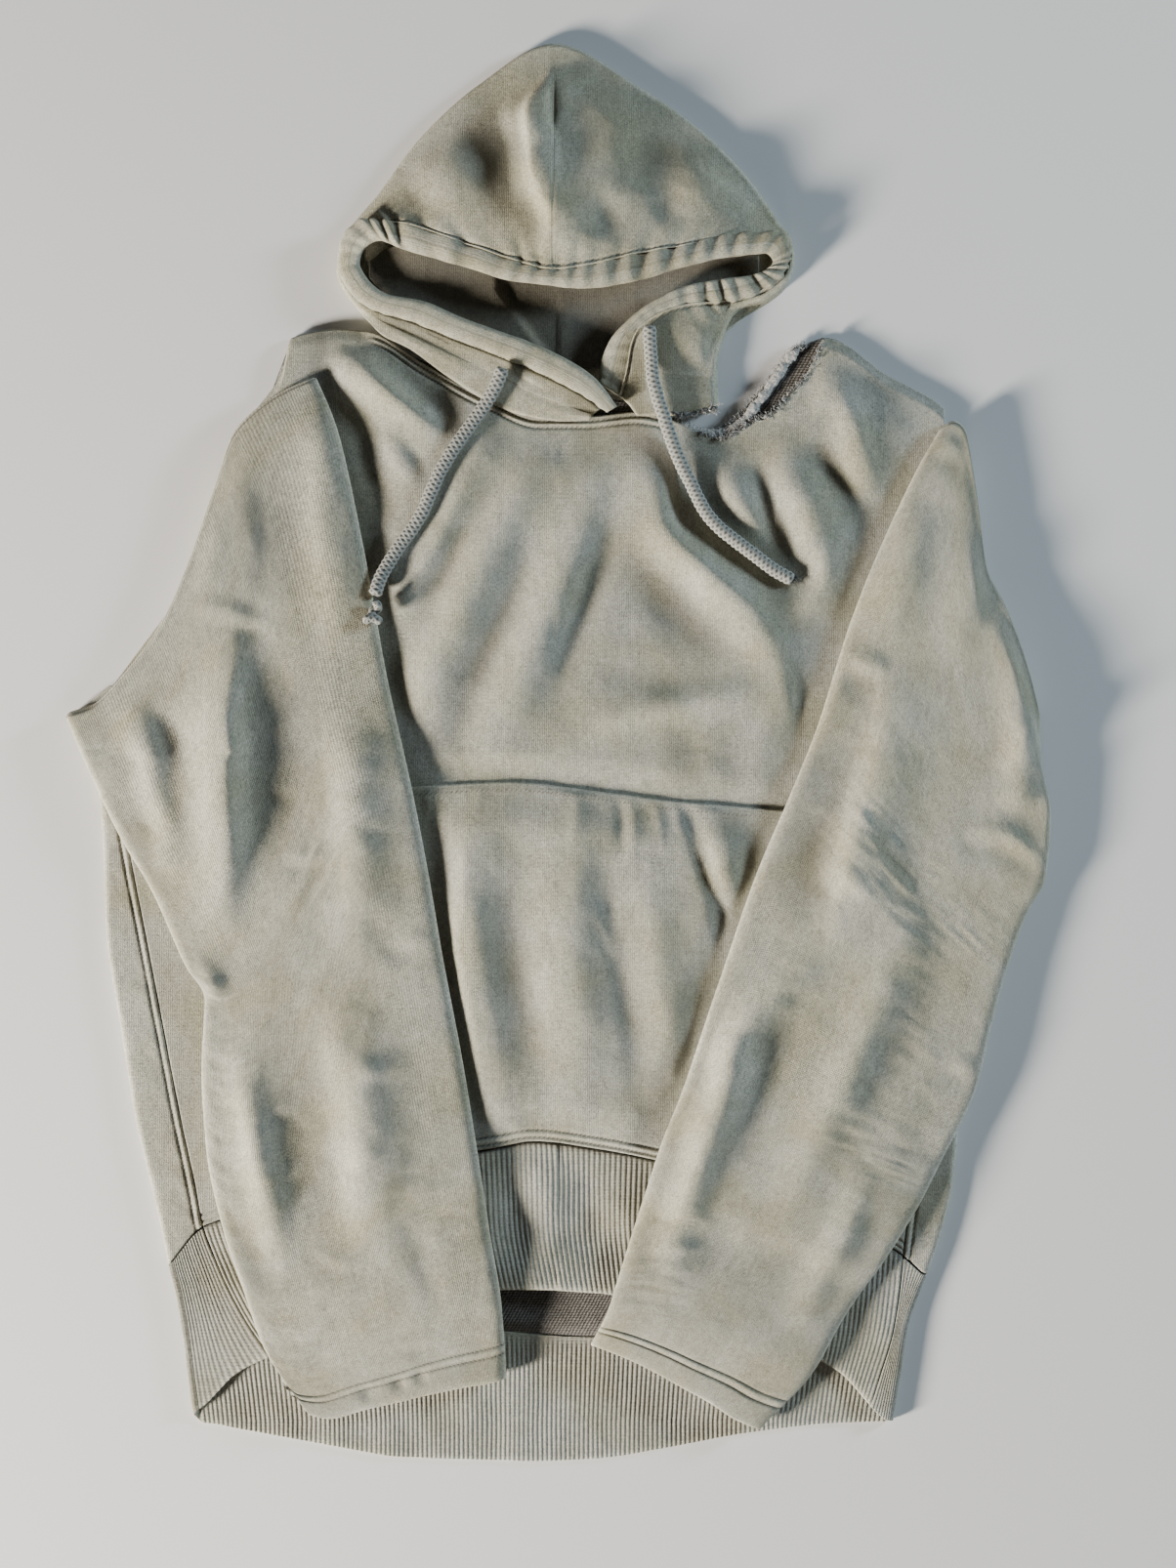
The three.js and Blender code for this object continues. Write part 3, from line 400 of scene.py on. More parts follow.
BODY_EDGES = table("y right_fold right_seam left_seam left_fold", [
    (205, -209, -199, 250, 260),
    (168, -224, -216, 263, 271),
    (133, -236, -229, 267, 274),
    (105, -245, -238, 276, 283),
    (76, -261, -253, 289, 297),
    (50, -282, -274, 296, 304),
    (30, -303, -290, 299, 307),
    (-3, -302, -289, 285, 297),
    (-32, -296, -282, 280, 294),
    (-67, -294, -276, 274, 291),
    (-118, -292, -266, 264, 283),
    (-176, -283, -255, 251, 274),
    (-238, -273, -243, 237, 260),
    (-280, -263, -234, 229, 255),
    (-306, -257, -229, 225, 249),
    (-334, -251, -218, 222, 240),
    (-345, -248, -213, 221, 235),
    (-372, -243, -198, 217, 226),
    (-403, -239, -176, 208, 221),
    (-433, -235, -158, 198, 216),
])
TOP_EDGES = table("x front back", [
    (-209, 205, 205),
    (-193, 225, 225),
    (-178, 246, 246),
    (-173, 268, 268),
    (-140, 274, 274),
    (-122, 272, 271),
    (-88, 252, 254),
    (-45, 229, 241),
    (-13, 217, 235),
    (18, 217, 232),
    (50, 220, 226),
    (74, 215, 217),
    (89, 208, 209),
    (106, 203, 210),
    (125, 214, 227),
    (137, 219, 242),
    (151, 233, 259),
    (162, 246, 265),
    (173, 268, 269),
    (215, 243, 243),
    (243, 228, 228),
    (260, 212, 212),
])
HEM_EDGES = table("x front_seam front_hem back_seam back_hem", [
    (-252, -332, -436, -334, -434),
    (-229, -306, -422, -346, -434),
    (-205, -298, -399, -354, -438),
    (-150, -282, -377, -364, -448),
    (-100, -266, -361, -370, -456),
    (-38, -255, -346, -374, -458),
    (-16, -251, -346, -376, -458.6),
    (25, -256, -348, -378, -457),
    (70, -265, -356, -374, -450),
    (125, -284, -373, -368, -440),
    (180, -305, -399, -358, -434),
    (216, -320, -433, -348, -433),
    (240, -340, -437, -341, -433),
])
POCKET_SIDES = table("y right left", [
    (-20, -95, 145),
    (-150, -160, 196),
    (-280, -166, 184),
])
POCKET_TOP_EDGE = table("x y", [
    (-95, -22),
    (-33, -19),
    (34, -26),
    (72, -31),
    (145, -37),
])
RIGHT_SLEEVE_ROWS = table("inner_x inner_y outer_x outer_y", [
    (-156, 243, -318, 26),
    (-142, 209, -301, -13),
    (-125, 133, -281, -55),
    (-109, 45, -261, -89),
    (-94, -21, -240, -136),
    (-84, -72, -227, -160),
    (-73, -135, -229, -205),
    (-61, -198, -226, -255),
    (-52, -253, -215, -307),
    (-44, -305, -203, -343),
    (-36, -353, -188, -384),
    (-33, -403, -168, -414),
])
LEFT_SLEEVE_ROWS = table("inner_x inner_y outer_x outer_y", [
    (247, 210, 310, 27),
    (233, 186, 311, -6),
    (211, 140, 317, -41),
    (189, 86, 314, -79),
    (166, 14, 301, -105),
    (148, -30, 289, -139),
    (128, -77, 280, -171),
    (103, -149, 269, -216),
    (79, -220, 246, -264),
    (67, -250, 234, -288),
    (54, -290, 214, -320),
    (39, -336, 185, -362),
    (32, -358, 162, -401),
    (21, -381, 130, -436),
])
RIGHT_SLEEVE_ENDS = table("across arm_x arm_y arm_z cuff_x cuff_y", [
    (0, -156, 243, 8.2, -33, -403),
    (0.1, -180, 232, 8.2, -46, -406),
    (0.2, -209, 206, 8.6, -60, -408),
    (0.35, -221, 174, 0.4, -80, -412),
    (0.5, -238, 125, 0.4, -101, -417),
    (0.65, -254, 88, 0.4, -123, -422),
    (0.8, -278, 54, 0.4, -146, -428),
    (0.9, -300, 32, 0.4, -158, -426),
    (1, -318, 26, 0.4, -168, -414),
])
LEFT_SLEEVE_ENDS = table("across arm_x arm_y arm_z cuff_x cuff_y", [
    (0, 247, 210, 8.4, 21, -381),
    (0.06, 255, 214, 8.4, 28, -383),
    (0.13, 262, 209, 7.8, 36, -386),
    (0.25, 268, 183, 0.4, 48, -391),
    (0.4, 272, 153, 0.4, 64, -399),
    (0.55, 276, 122, 0.4, 80, -408),
    (0.7, 288, 97, 0.4, 98, -418),
    (0.85, 301, 62, 0.4, 113, -428),
    (1, 310, 27, 0.4, 130, -436),
])
HOOD_COLUMNS = "inner_x inner_y outer_x outer_y rim edge_x edge_y edge_top edge_under end_x end_y end_top"
HOOD_ROWS = table(HOOD_COLUMNS, [
    (38, 222, 31, 218, 15.6, 28, 216, 13, 12.6, 27, 213, 10.4),
    (25, 239, 16, 229, 15.8, 9, 222, 12.8, 12, 5, 213, 10.2),
    (-3, 257, -9, 242, 15.6, -15, 231, 12.4, 11.8, -22, 217, 10),
    (-33, 269, -40, 255, 15.2, -39, 243, 12.2, 11.6, -45, 226, 10),
    (-58, 278, -66, 265, 15, -68, 256, 12.2, 11.6, -71, 242, 9.8),
    (-88, 290, -95, 277, 14.6, -97, 270, 11.8, 11.2, -96, 260, 9.6),
    (-109, 294, -118, 284, 14, -119, 281, 11, 9.4, -113, 269, 9.6),
    (-122, 304, -133, 295, 13.2, -134, 292, 9.6, 4, -124, 280, 6),
    (-127, 314, -141, 312, 12.8, -143, 311, 8.4, 0, -113, 277, 0),
    (-124, 323, -140, 327, 14, -141, 329, 8, 0, -102, 267, 0),
    (-114, 328, -125, 343, 16, -129, 346, 7.6, 0, -90, 259, 0),
    (-96, 321, -101, 341, 18, -117, 360, 7.4, 0, -72, 252, 0),
    (-62, 311, -56, 326, 21, -92, 394, 7.4, 0, -49, 245, 0),
    (-33, 301, -26, 315, 24, -51, 432, 7.4, 0, -26, 240, 0),
    (-7, 297, -2, 309, 26, -2, 458.6, 7.4, 0, -1, 237, 0),
    (18, 295, 20, 312, 26, 50, 432, 7.4, 0, 22, 235, 0),
    (50, 300, 52, 320, 24, 94, 401, 7.4, 0, 45, 230, 0),
    (81, 310, 84, 326, 22, 125, 369, 7.4, 0, 64, 226, 0),
    (110, 317, 112, 333, 19, 144, 341, 7.6, 0, 76, 225, 0),
    (133, 320, 143, 335, 16, 150, 334, 7.8, 0, 84, 225, 0),
    (138, 315, 151, 321, 14, 153, 320, 8, 0, 90, 225, 0),
    (133, 310, 147, 308, 13.6, 150, 306, 8, 0, 95, 225, 0),
    (125, 307, 134, 296, 13.8, 136, 294, 8, 0, 98, 225, 0),
    (106, 304, 112, 289, 14.4, 115, 285, 8.4, 0, 101, 224, 0.4),
    (83, 300, 84, 286, 15, 104, 262, 9.6, 3, 104, 221, 5),
    (61, 290, 67, 281, 15, 98, 242, 9.6, 9, 99, 219, 9.6),
    (44, 277, 53, 271, 14.4, 76, 243, 11, 10.6, 88, 219, 10),
    (33, 264, 49, 262, 13.4, 62, 240, 11, 10.6, 76, 217, 10),
    (27, 248, 46, 245, 12, 54, 232, 10.8, 10.4, 62, 217, 10),
    (26, 238, 41, 229, 10.6, 46, 224, 10.6, 10.2, 51, 217, 10),
])
LINING_ROWS = table("x upper lower", [
    (-122, 317, 307),
    (-110, 326, 294),
    (-88, 330, 276),
    (-60, 330, 262),
    (-30, 326, 254),
    (0, 324, 250),
    (30, 324, 248),
    (60, 328, 248),
    (80, 332, 256),
    (92, 332, 288),
    (110, 328, 305),
    (130, 322, 310),
])
RIGHT_CORD_ROUTE = table("x y z", [
    (-35, 246, 18.6),
    (-39, 236, 17.4),
    (-46, 224, 15.6),
    (-56, 210, 14.4),
    (-66, 196, 14.4),
    (-75, 181, 14.2),
    (-81, 168, 13.8),
    (-87, 154, 13.2),
    (-94, 143, 12.6),
    (-102, 132, 12.4),
    (-109, 121, 12.8),
    (-114, 111, 14.6),
    (-117, 101, 16.6),
])
LEFT_CORD_ROUTE = table("x y z", [
    (59, 273, 19),
    (59, 264, 18.6),
    (60, 252, 17.4),
    (61, 240, 16.8),
    (64, 228, 16.2),
    (68, 216, 15.4),
    (73, 201, 14),
    (79, 186, 13.6),
    (86, 172, 13.6),
    (94, 156, 14),
    (103, 145, 14.4),
    (114, 136, 14.6),
    (126, 127, 14),
    (138, 118, 12.6),
    (151, 111, 11.8),
])
HOOD_WAIST = table("y x", [
    (240, 94),
    (262, 95),
    (285, 103),
    (300, 118),
    (335, 160),
])


# Number helpers


def lerp(a, b, t):
    return a + (b - a) * t


def clamp01(t):
    return np.clip(t, 0, 1)


def smooth_step(start, end, value):
    t = np.clip((value - start) / (end - start), 0, 1)
    return t * t * (3 - 2 * t)


def bell(offset, reach):
    """1 in the middle, fading to nothing past the reach."""
    return np.exp(-((offset / reach) ** 2))


def column(rows, along_name, name):
    """A smooth function through one column of a table, without overshoot between its rows."""
    order = np.argsort(rows[along_name], kind="stable")
    at = rows[along_name][order]
    value = rows[name][order]
    chord = np.diff(value) / np.diff(at)
    before = np.concatenate([chord[:1], chord])
    after = np.concatenate([chord, chord[-1:]])
    both = before * after
    total = np.where(both > 0, before + after, 1)
    slope = np.where(both > 0, 2 * both / total, 0)

    def read(query):
        q = np.clip(query, at[0], at[-1])
        k = np.clip(np.searchsorted(at, q, side="left") - 1, 0, len(at) - 2)
        step = at[k + 1] - at[k]
        t = (q - at[k]) / step
        ends = value[k] * (1 + 2 * t) * (1 - t) ** 2 + value[k + 1] * t * t * (3 - 2 * t)
        return ends + step * t * (1 - t) * (slope[k] * (1 - t) - slope[k + 1] * t)

    return read


def along(rows, name):
    """The same through the rows in their order, as a share from 0 to 1."""
    count = len(rows[name])
    numbered = {"share": np.arange(count) / (count - 1), "value": rows[name]}
    return column(numbered, "share", "value")


def noise(x, y, size, seed):
    """Smooth uneven value from -1 to 1 whose lumps are about so many millimetres large."""
    lattice = np.random.default_rng(seed).uniform(-1, 1, (97, 97))
    u, v = x / size + 480, y / size + 480
    i, j = np.floor(u).astype(int), np.floor(v).astype(int)
    s, t = u - i, v - j
    s, t = s * s * (3 - 2 * s), t * t * (3 - 2 * t)
    i, j = i % 96, j % 96
    low = lerp(lattice[i, j], lattice[i + 1, j], s)
    high = lerp(lattice[i, j + 1], lattice[i + 1, j + 1], s)
    return lerp(low, high, t)


def lumps(x, y, seed):
    """Fine unevenness of washed cloth, in millimetres."""
    broad = 0.35 * noise(x, y, 21, seed) + 0.20 * noise(x, y, 11, seed + 1)
    return broad + 0.09 * noise(x, y, 5, seed + 2)


def graded(length, spacing, lines=(), fine=FINE_STEP, reach=3.0):
    """Shares from 0 to 1 along a length, close together at the given lines."""
    places = [0.0]
    while places[-1] < length:
        near = max((math.exp(-(((places[-1] - line) / reach) ** 2)) for line in lines), default=0)
        places.append(places[-1] + lerp(spacing, fine, near))
    return np.array(places) / places[-1]


def stitch_groove(distance):
    """How far a row of stitches pulls the cloth in, at a distance from the row."""
    return -STITCH_DEPTH * bell(distance, STITCH_REACH)


def smooth_path(points, steps):
    """A smooth curve through given points."""
    points = np.array(points, float)
    padded = np.vstack([2 * points[0] - points[1], points, 2 * points[-1] - points[-2]])
    found = []
    for a, b, c, d in zip(padded[:-3], padded[1:-2], padded[2:-1], padded[3:]):
        for t in np.arange(steps) / steps:
            bend = (2 * a - 5 * b + 4 * c - d) * t * t + (3 * b - a - 3 * c + d) * t ** 3
            found.append(0.5 * (2 * b + (c - a) * t + bend))
    found.append(points[-1])
    return np.array(found)


# A crease runs through its points. Its height is above the cloth, or below where it is a trough.
# left and right are its half widths on the viewer's left and right as it runs down the picture.
Crease = namedtuple("Crease", "height left right points")


def nearest_on_path(path, x, y):
    """Distance to a path, which side of it, and the share of its length at the nearest place."""
    best = np.full(x.shape, np.inf)
    side = np.zeros(x.shape)
    at = np.zeros(x.shape)
    run = 0.0
    for (ax, ay), (bx, by) in zip(path[:-1], path[1:]):
        dx, dy = bx - ax, by - ay
        length = math.hypot(dx, dy)
        t = np.clip(((x - ax) * dx + (y - ay) * dy) / length ** 2, 0, 1)
        ox, oy = x - (ax + t * dx), y - (ay + t * dy)
        apart = ox * ox + oy * oy
        closer = apart < best
        best = np.where(closer, apart, best)
        side = np.where(closer, dx * oy - dy * ox, side)
        at = np.where(closer, run + t * length, at)
        run += length
    return np.sqrt(best), side, at / run


def crease_height(creases, x, y, wander=1.6, seed=5):
    """Height of listed creases, on places that wander a little so that none runs too even."""
    shape = np.broadcast(x, y).shape
    flat_x = np.broadcast_to(x, shape).ravel()
    flat_y = np.broadcast_to(y, shape).ravel()
    px = flat_x + wander * noise(flat_x, flat_y, 26, seed)
    py = flat_y + wander * noise(flat_x, flat_y, 26, seed + 1)
    total = np.zeros(flat_x.shape)
    for crease in creases:
        path = smooth_path(crease.points, 5)
        reach = 2.6 * max(crease.left, crease.right)
        low, high = path.min(axis=0) - reach, path.max(axis=0) + reach
        near = (px > low[0]) & (px < high[0]) & (py > low[1]) & (py < high[1])
        off, side, at = nearest_on_path(path, px[near], py[near])
        width = 1.2 * np.where(side > 0, crease.right, crease.left)
        fade = np.sin(np.pi * clamp01(at)) ** 1.1
        beyond = np.where((at <= 0) | (at >= 1), 0, 1)
        small = lerp(0.45, 1, smooth_step(4, 11, max(crease.left, crease.right)))
        total[near] += crease.height * small * fade * beyond * np.exp(-((off / width) ** 2))
    return total.reshape(shape)


# Meshes


def surface_normals(points, ring=False):
    if ring:
        wrapped = np.concatenate([points[:, -1:], points, points[:, :1]], axis=1)
        across = wrapped[:, 2:] - wrapped[:, :-2]
    else:
        across = np.gradient(points, axis=1)
    normal = np.cross(np.gradient(points, axis=0), across)
    return normal / np.maximum(np.linalg.norm(normal, axis=2, keepdims=True), 1e-9)


def run_along(points, axis):
    """Distance from the first point, along the rows or the columns of a grid."""
    steps = np.linalg.norm(np.diff(points, axis=axis), axis=2)
    start = np.zeros_like(np.take(steps, [0], axis=axis))
    return np.cumsum(np.concatenate([start, steps], axis=axis), axis=axis)


def from_border(points, ring=False):
    """Distance of each point of a grid from the nearest border."""
    down = run_along(points, 0)
    nearest = np.minimum(down, down[-1:] - down)
    if ring:
        return nearest
    across = run_along(points, 1)
    return np.minimum(nearest, np.minimum(across, across[:, -1:] - across))


def thinned(count, step):
    """Every so many places of a row, always with both ends."""
    kept = list(range(0, count - 1, step))
    return np.array(kept + [count - 1])


Grid = namedtuple("Grid", "points place masks")


def cloth_wall(points, place, thickness, ring=False, masks=None, thin=4, floor=FLOOR_CLEARANCE):
    """Outer and inner grids of a cloth wall under a surface, rounded over at its borders."""
    normals = surface_normals(points, ring)
    rim = thickness / 2
    closeness = 1 - np.clip(from_border(points, ring) / rim, 0, 1)
    drop = 0.9 * rim * (1 - np.sqrt(1 - closeness ** 2))
    outer = points - normals * drop[..., None]
    inner = points - normals * (thickness - drop)[..., None]
    inner[..., 2] = np.maximum(inner[..., 2], floor)
    rows = thinned(points.shape[0], thin)
    columns = np.arange(0, points.shape[1], thin) if ring else thinned(points.shape[1], thin)
    pick = np.ix_(rows, columns)
    masks = masks or {}
    inner_masks = {name: value[pick] for name, value in masks.items()}
    return Grid(outer, place, masks), Grid(inner[pick], place[pick], inner_masks)


def quads(ids, flip, ring):
    if ring:
        ids = np.concatenate([ids, ids[:, :1]], axis=1)
    corners = [ids[:-1, :-1], ids[1:, :-1], ids[1:, 1:], ids[:-1, 1:]]
    if flip:
        corners.reverse()
    return np.stack([corner.ravel() for corner in corners], axis=1)


def strip(points, first, second):
    """Triangles between two rows of points that may differ in their counts."""
    faces = []
    i = j = 0
    while i < len(first) - 1 or j < len(second) - 1:
        along_first = along_second = math.inf
        if i < len(first) - 1:
            along_first = np.linalg.norm(points[first[i + 1]] - points[second[j]])
        if j < len(second) - 1:
            along_second = np.linalg.norm(points[first[i]] - points[second[j + 1]])
        if along_first <= along_second:
            faces.append((first[i], first[i + 1], second[j]))
            i += 1
        else:
            faces.append((first[i], second[j + 1], second[j]))
            j += 1
    return faces


def closed_wall(name, outer, inner, ring=False):
    """One closed mesh between an outer and an inner grid, which may differ in their counts."""
    shapes = [grid.points.shape[:2] for grid in (outer, inner)]
    count = shapes[0][0] * shapes[0][1]
    out_ids = np.arange(count).reshape(shapes[0])
    in_ids = count + np.arange(shapes[1][0] * shapes[1][1]).reshape(shapes[1])
    points = np.concatenate([grid.points.reshape(-1, 3) for grid in (outer, inner)])
    place = np.concatenate([grid.place.reshape(-1, 2) for grid in (outer, inner)])
    masks = {key: np.concatenate([grid.masks[key].ravel() for grid in (outer, inner)]) for key in outer.masks}

    def closed(row):
        return np.append(row, row[0]) if ring else row

    triangles = strip(points, closed(out_ids[0]), closed(in_ids[0]))
    triangles += strip(points, closed(out_ids[-1])[::-1], closed(in_ids[-1])[::-1])
    if not ring:
        triangles += strip(points, out_ids[::-1, 0], in_ids[::-1, 0])
        triangles += strip(points, out_ids[:, -1], in_ids[:, -1])
    squares = np.concatenate([quads(out_ids, False, ring), quads(in_ids, True, ring)])
    return make_mesh(name, points, squares, np.array(triangles), place, masks)


def make_mesh(name, points, squares, triangles, place, masks):
    """A smooth mesh in metres from points in millimetres, with its place on the cut cloth."""
    mesh = bpy.data.meshes.new(name)
    loops = np.concatenate([squares.ravel(), triangles.ravel()]).astype(np.int32)
    starts = np.concatenate([
        np.arange(len(squares)) * 4,
        len(squares) * 4 + np.arange(len(triangles)) * 3,
    ]).astype(np.int32)
    mesh.vertices.add(len(points))
    mesh.vertices.foreach_set("co", (points * MM).astype(np.float32).ravel())
    mesh.loops.add(len(loops))
    mesh.loops.foreach_set("vertex_index", loops)
    mesh.polygons.add(len(starts))
    mesh.polygons.foreach_set("loop_start", starts)
    mesh.polygons.foreach_set("use_smooth", np.ones(len(starts), bool))
    mesh.update(calc_edges=True)
    layer = mesh.uv_layers.new(name="cloth")
    layer.uv.foreach_set("vector", (place[loops] * MM).astype(np.float32).ravel())
    for key, value in masks.items():
        mask = mesh.attributes.new(key, "FLOAT", "POINT")
        mask.data.foreach_set("value", value.astype(np.float32))
    mesh.validate()
    return mesh


def tube(name, rings, place, masks=None):
    """A closed solid through a run of rings, with a cap at each end."""
    rows, count = rings.shape[:2]
    ids = np.arange(rows * count).reshape(rows, count)
    ends = np.array([rings[0].mean(axis=0), rings[-1].mean(axis=0)])
    points = np.concatenate([rings.reshape(-1, 3), ends])
    places = np.concatenate([place.reshape(-1, 2), place[0, :1], place[-1, :1]])
    masks = masks or {}
    full = {key: np.append(value.ravel(), [value[0, 0], value[-1, 0]]) for key, value in masks.items()}
    first, last = rows * count, rows * count + 1
    turned = np.roll(np.arange(count), -1)
    start_cap = np.stack([np.full(count, first), ids[0], ids[0][turned]], axis=1)
    end_cap = np.stack([np.full(count, last), ids[-1][turned], ids[-1]], axis=1)
    caps = np.concatenate([start_cap, end_cap])
    return make_mesh(name, points, quads(ids, False, True), caps, places, full)


def add_piece(name, mesh, material, slot, nodes):
    """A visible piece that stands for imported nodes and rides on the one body."""
    piece = bpy.data.objects.new(name, mesh)
    bpy.context.scene.collection.objects.link(piece)
    mesh.materials.append(material)
    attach(piece, "root")
    if nodes:
        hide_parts(*nodes)
    return piece


def straight(value):
    """An edge line that keeps one value all along."""
    return lambda along_it: 0 * along_it + value


def area_within(right, left, lower, upper):
    """Square metres of cloth inside given edge lines, counted in cells of 1 mm."""
    x, y = np.meshgrid(np.arange(-330, 330) + 0.5, np.arange(-470, 470) + 0.5)
    inside = (x > right(y)) & (x < left(y)) & (y > lower(x)) & (y < upper(x))
    return float(np.count_nonzero(inside)) / 1e6


def area_between(rows, first, second, start=0, end=None):
    """Square metres of cloth between two lines of a table."""
    lines = [np.stack([rows[name + "_x"], rows[name + "_y"]], axis=1)[start:end] for name in (first, second)]
    a, b, c, d = lines[0][:-1], lines[0][1:], lines[1][1:], lines[1][:-1]
    across, along_it = c - a, d - b
    return float(np.abs(across[:, 0] * along_it[:, 1] - across[:, 1] * along_it[:, 0]).sum()) / 2e6


# Body edges and hem lines

right_fold_x = column(BODY_EDGES, "y", "right_fold")
right_seam_x = column(BODY_EDGES, "y", "right_seam")
left_seam_x = column(BODY_EDGES, "y", "left_seam")
left_fold_x = column(BODY_EDGES, "y", "left_fold")
top_y = {"front": column(TOP_EDGES, "x", "front"), "back": column(TOP_EDGES, "x", "back")}
seam_y = {"front": column(HEM_EDGES, "x", "front_seam"), "back": column(HEM_EDGES, "x", "back_seam")}
hem_y = {"front": column(HEM_EDGES, "x", "front_hem"), "back": column(HEM_EDGES, "x", "back_hem")}
right_inner_x = column(RIGHT_SLEEVE_ROWS, "inner_y", "inner_x")
left_inner_x = column(LEFT_SLEEVE_ROWS, "inner_y", "inner_x")
pocket_top_y = column(POCKET_TOP_EDGE, "x", "y")
pocket_right_x = column(POCKET_SIDES, "y", "right")
pocket_left_x = column(POCKET_SIDES, "y", "left")


def bareness(x, y, start=2, end=20):
    """Where the front lies bare between the sleeves: 1 in the open, 0 under a sleeve."""
    return smooth_step(start, end, x - right_inner_x(y)) * smooth_step(start, end, left_inner_x(y) - x)


def hem_lift(x, y):
    depth = smooth_step(40, 0, y - hem_y["front"](x))
    return HEM_LIFT * depth * smooth_step(190, 20, np.abs(x))


def body_place(layer, across, down):
    """A place on a panel: across from seam to seam, down from its top edge to the hem seam."""
    x = lerp(right_seam_x(0), left_seam_x(0), across) + 0 * down
    y = 0 * x
    for _ in range(12):
        y = lerp(top_y[layer](x), seam_y[layer](x) + SEAM_GAP, down)
        x = lerp(right_seam_x(y) + SEAM_GAP / 2, left_seam_x(y) - SEAM_GAP / 2, across)
    return x, y


def front_base(x, y):
    """Top of the front without folds, drawn down to the back at the shoulders."""
    shoulder = np.maximum(smooth_step(-118, -128, x), smooth_step(168, 178, x))
    edge = smooth_step(9, 0, top_y["front"](x) - y)
    return FRONT_TOP - (LOFT - SEAM_GAP) * shoulder * edge


# Folds of the front: ridges that hang from the neck and the torn shoulder, troughs between them
FRONT_CREASES = [
    Crease(7.0, 10, 8, [(-158, 262), (-132, 250), (-106, 232), (-84, 212), (-66, 196)]),
    Crease(-2.4, 7, 6, [(-120, 256), (-98, 240), (-72, 218), (-58, 206)]),
    Crease(-3.0, 12, 14, [(-146, 232), (-132, 206), (-120, 180), (-114, 146)]),
    Crease(3.0, 6, 7, [(-114, 206), (-100, 190), (-90, 170)]),
    Crease(-2.6, 5, 5, [(-104, 206), (-92, 190), (-84, 172)]),
    Crease(4.0, 12, 11, [(-42, 214), (-62, 178), (-80, 146), (-96, 108), (-108, 62)]),
    Crease(-4.0, 9, 9, [(-18, 200), (-40, 170), (-62, 134), (-80, 98), (-100, 54)]),
    Crease(7.0, 14, 15, [(-4, 196), (-24, 166), (-45, 130), (-64, 92), (-82, 54), (-98, 14)]),
    Crease(-4.6, 11, 10, [(2, 156), (-14, 134), (-32, 90), (-52, 48), (-66, 12), (-72, -14)]),
    Crease(6.2, 15, 13, [(26, 190), (20, 162), (8, 129), (-8, 90), (-24, 52), (-38, 12), (-46, -14)]),
    Crease(-4.2, 8, 9, [(38, 176), (34, 150), (22, 112), (10, 78), (2, 46), (-6, 20)]),
    Crease(7.6, 12, 11, [(52, 204), (60, 176), (68, 144), (92, 120), (114, 100), (131, 78), (144, 50),
                         (153, 18)]),
    Crease(-3.2, 14, 13, [(44, 138), (62, 108), (86, 82), (118, 58)]),
    Crease(-2.4, 12, 12, [(20, 50), (52, 47), (84, 46), (112, 54)]),
    Crease(5.4, 10, 9, [(140, 40), (122, 38), (90, 34), (44, 24), (12, 12)]),
    Crease(-1.9, 9, 9, [(78, 28), (86, 0), (90, -32)]),
    Crease(-1.9, 9, 9, [(100, 24), (112, -2), (122, -30)]),
    Crease(-3.6, 6, 9, [(88, 196), (80, 170), (84, 148), (96, 132)]),
    Crease(4.6, 9, 12, [(104, 196), (110, 172), (120, 150), (134, 128)]),
    Crease(-4.2, 7, 7, [(126, 196), (131, 172), (136, 152), (150, 132), (155, 112)]),
    Crease(6.0, 10, 14, [(144, 212), (148, 180), (162, 146), (168, 112), (158, 88)]),
    Crease(-4.0, 9, 9, [(164, 208), (176, 186), (190, 156), (194, 130)]),
    Crease(5.4, 10, 10, [(178, 250), (186, 216), (196, 186), (202, 158)]),
    Crease(-3.6, 5, 7, [(146, 70), (154, 40), (160, 8)]),
]


def pressed_by_cords(x, y, z):
    """Keeps the cloth under the drawcord ends that lie on it."""
    for route in (RIGHT_CORD_ROUTE, LEFT_CORD_ROUTE):
        path = np.stack([route["x"], route["y"]], axis=1)
        off, _, at = nearest_on_path(path, x, y)
        run = run_along(path[None], 1)[0]
        under = np.interp(at * run[-1], run, route["z"]) - CORD_DIAMETER / 2
        room = under + 0.9 + 0.016 * off ** 2
        room = np.maximum(room, FRONT_TOP - 2)
        z = room - 1.2 * np.logaddexp(0, (room - z) / 1.2)
    return z


def front_height(x, y, pocket=False):
    """Top of the front with its folds, flat under the pocket and the sleeves."""
    from_top = top_y["front"](x) - y
    neck = smooth_step(3, 20, from_top)
    above_pocket = 0 if pocket else smooth_step(3, 22, y - pocket_top_y(x))
    folds = 1.2 * crease_height(FRONT_CREASES, x, y) * bareness(x, y, 1, 16) * neck * above_pocket
    open_cloth = bareness(x, y, 4, 34) * smooth_step(4, 44, from_top)
    raised = front_base(x, y) + OPEN_LIFT * open_cloth * above_pocket
    return pressed_by_cords(x, y, np.maximum(raised + folds, front_base(x, y) - 2.1))


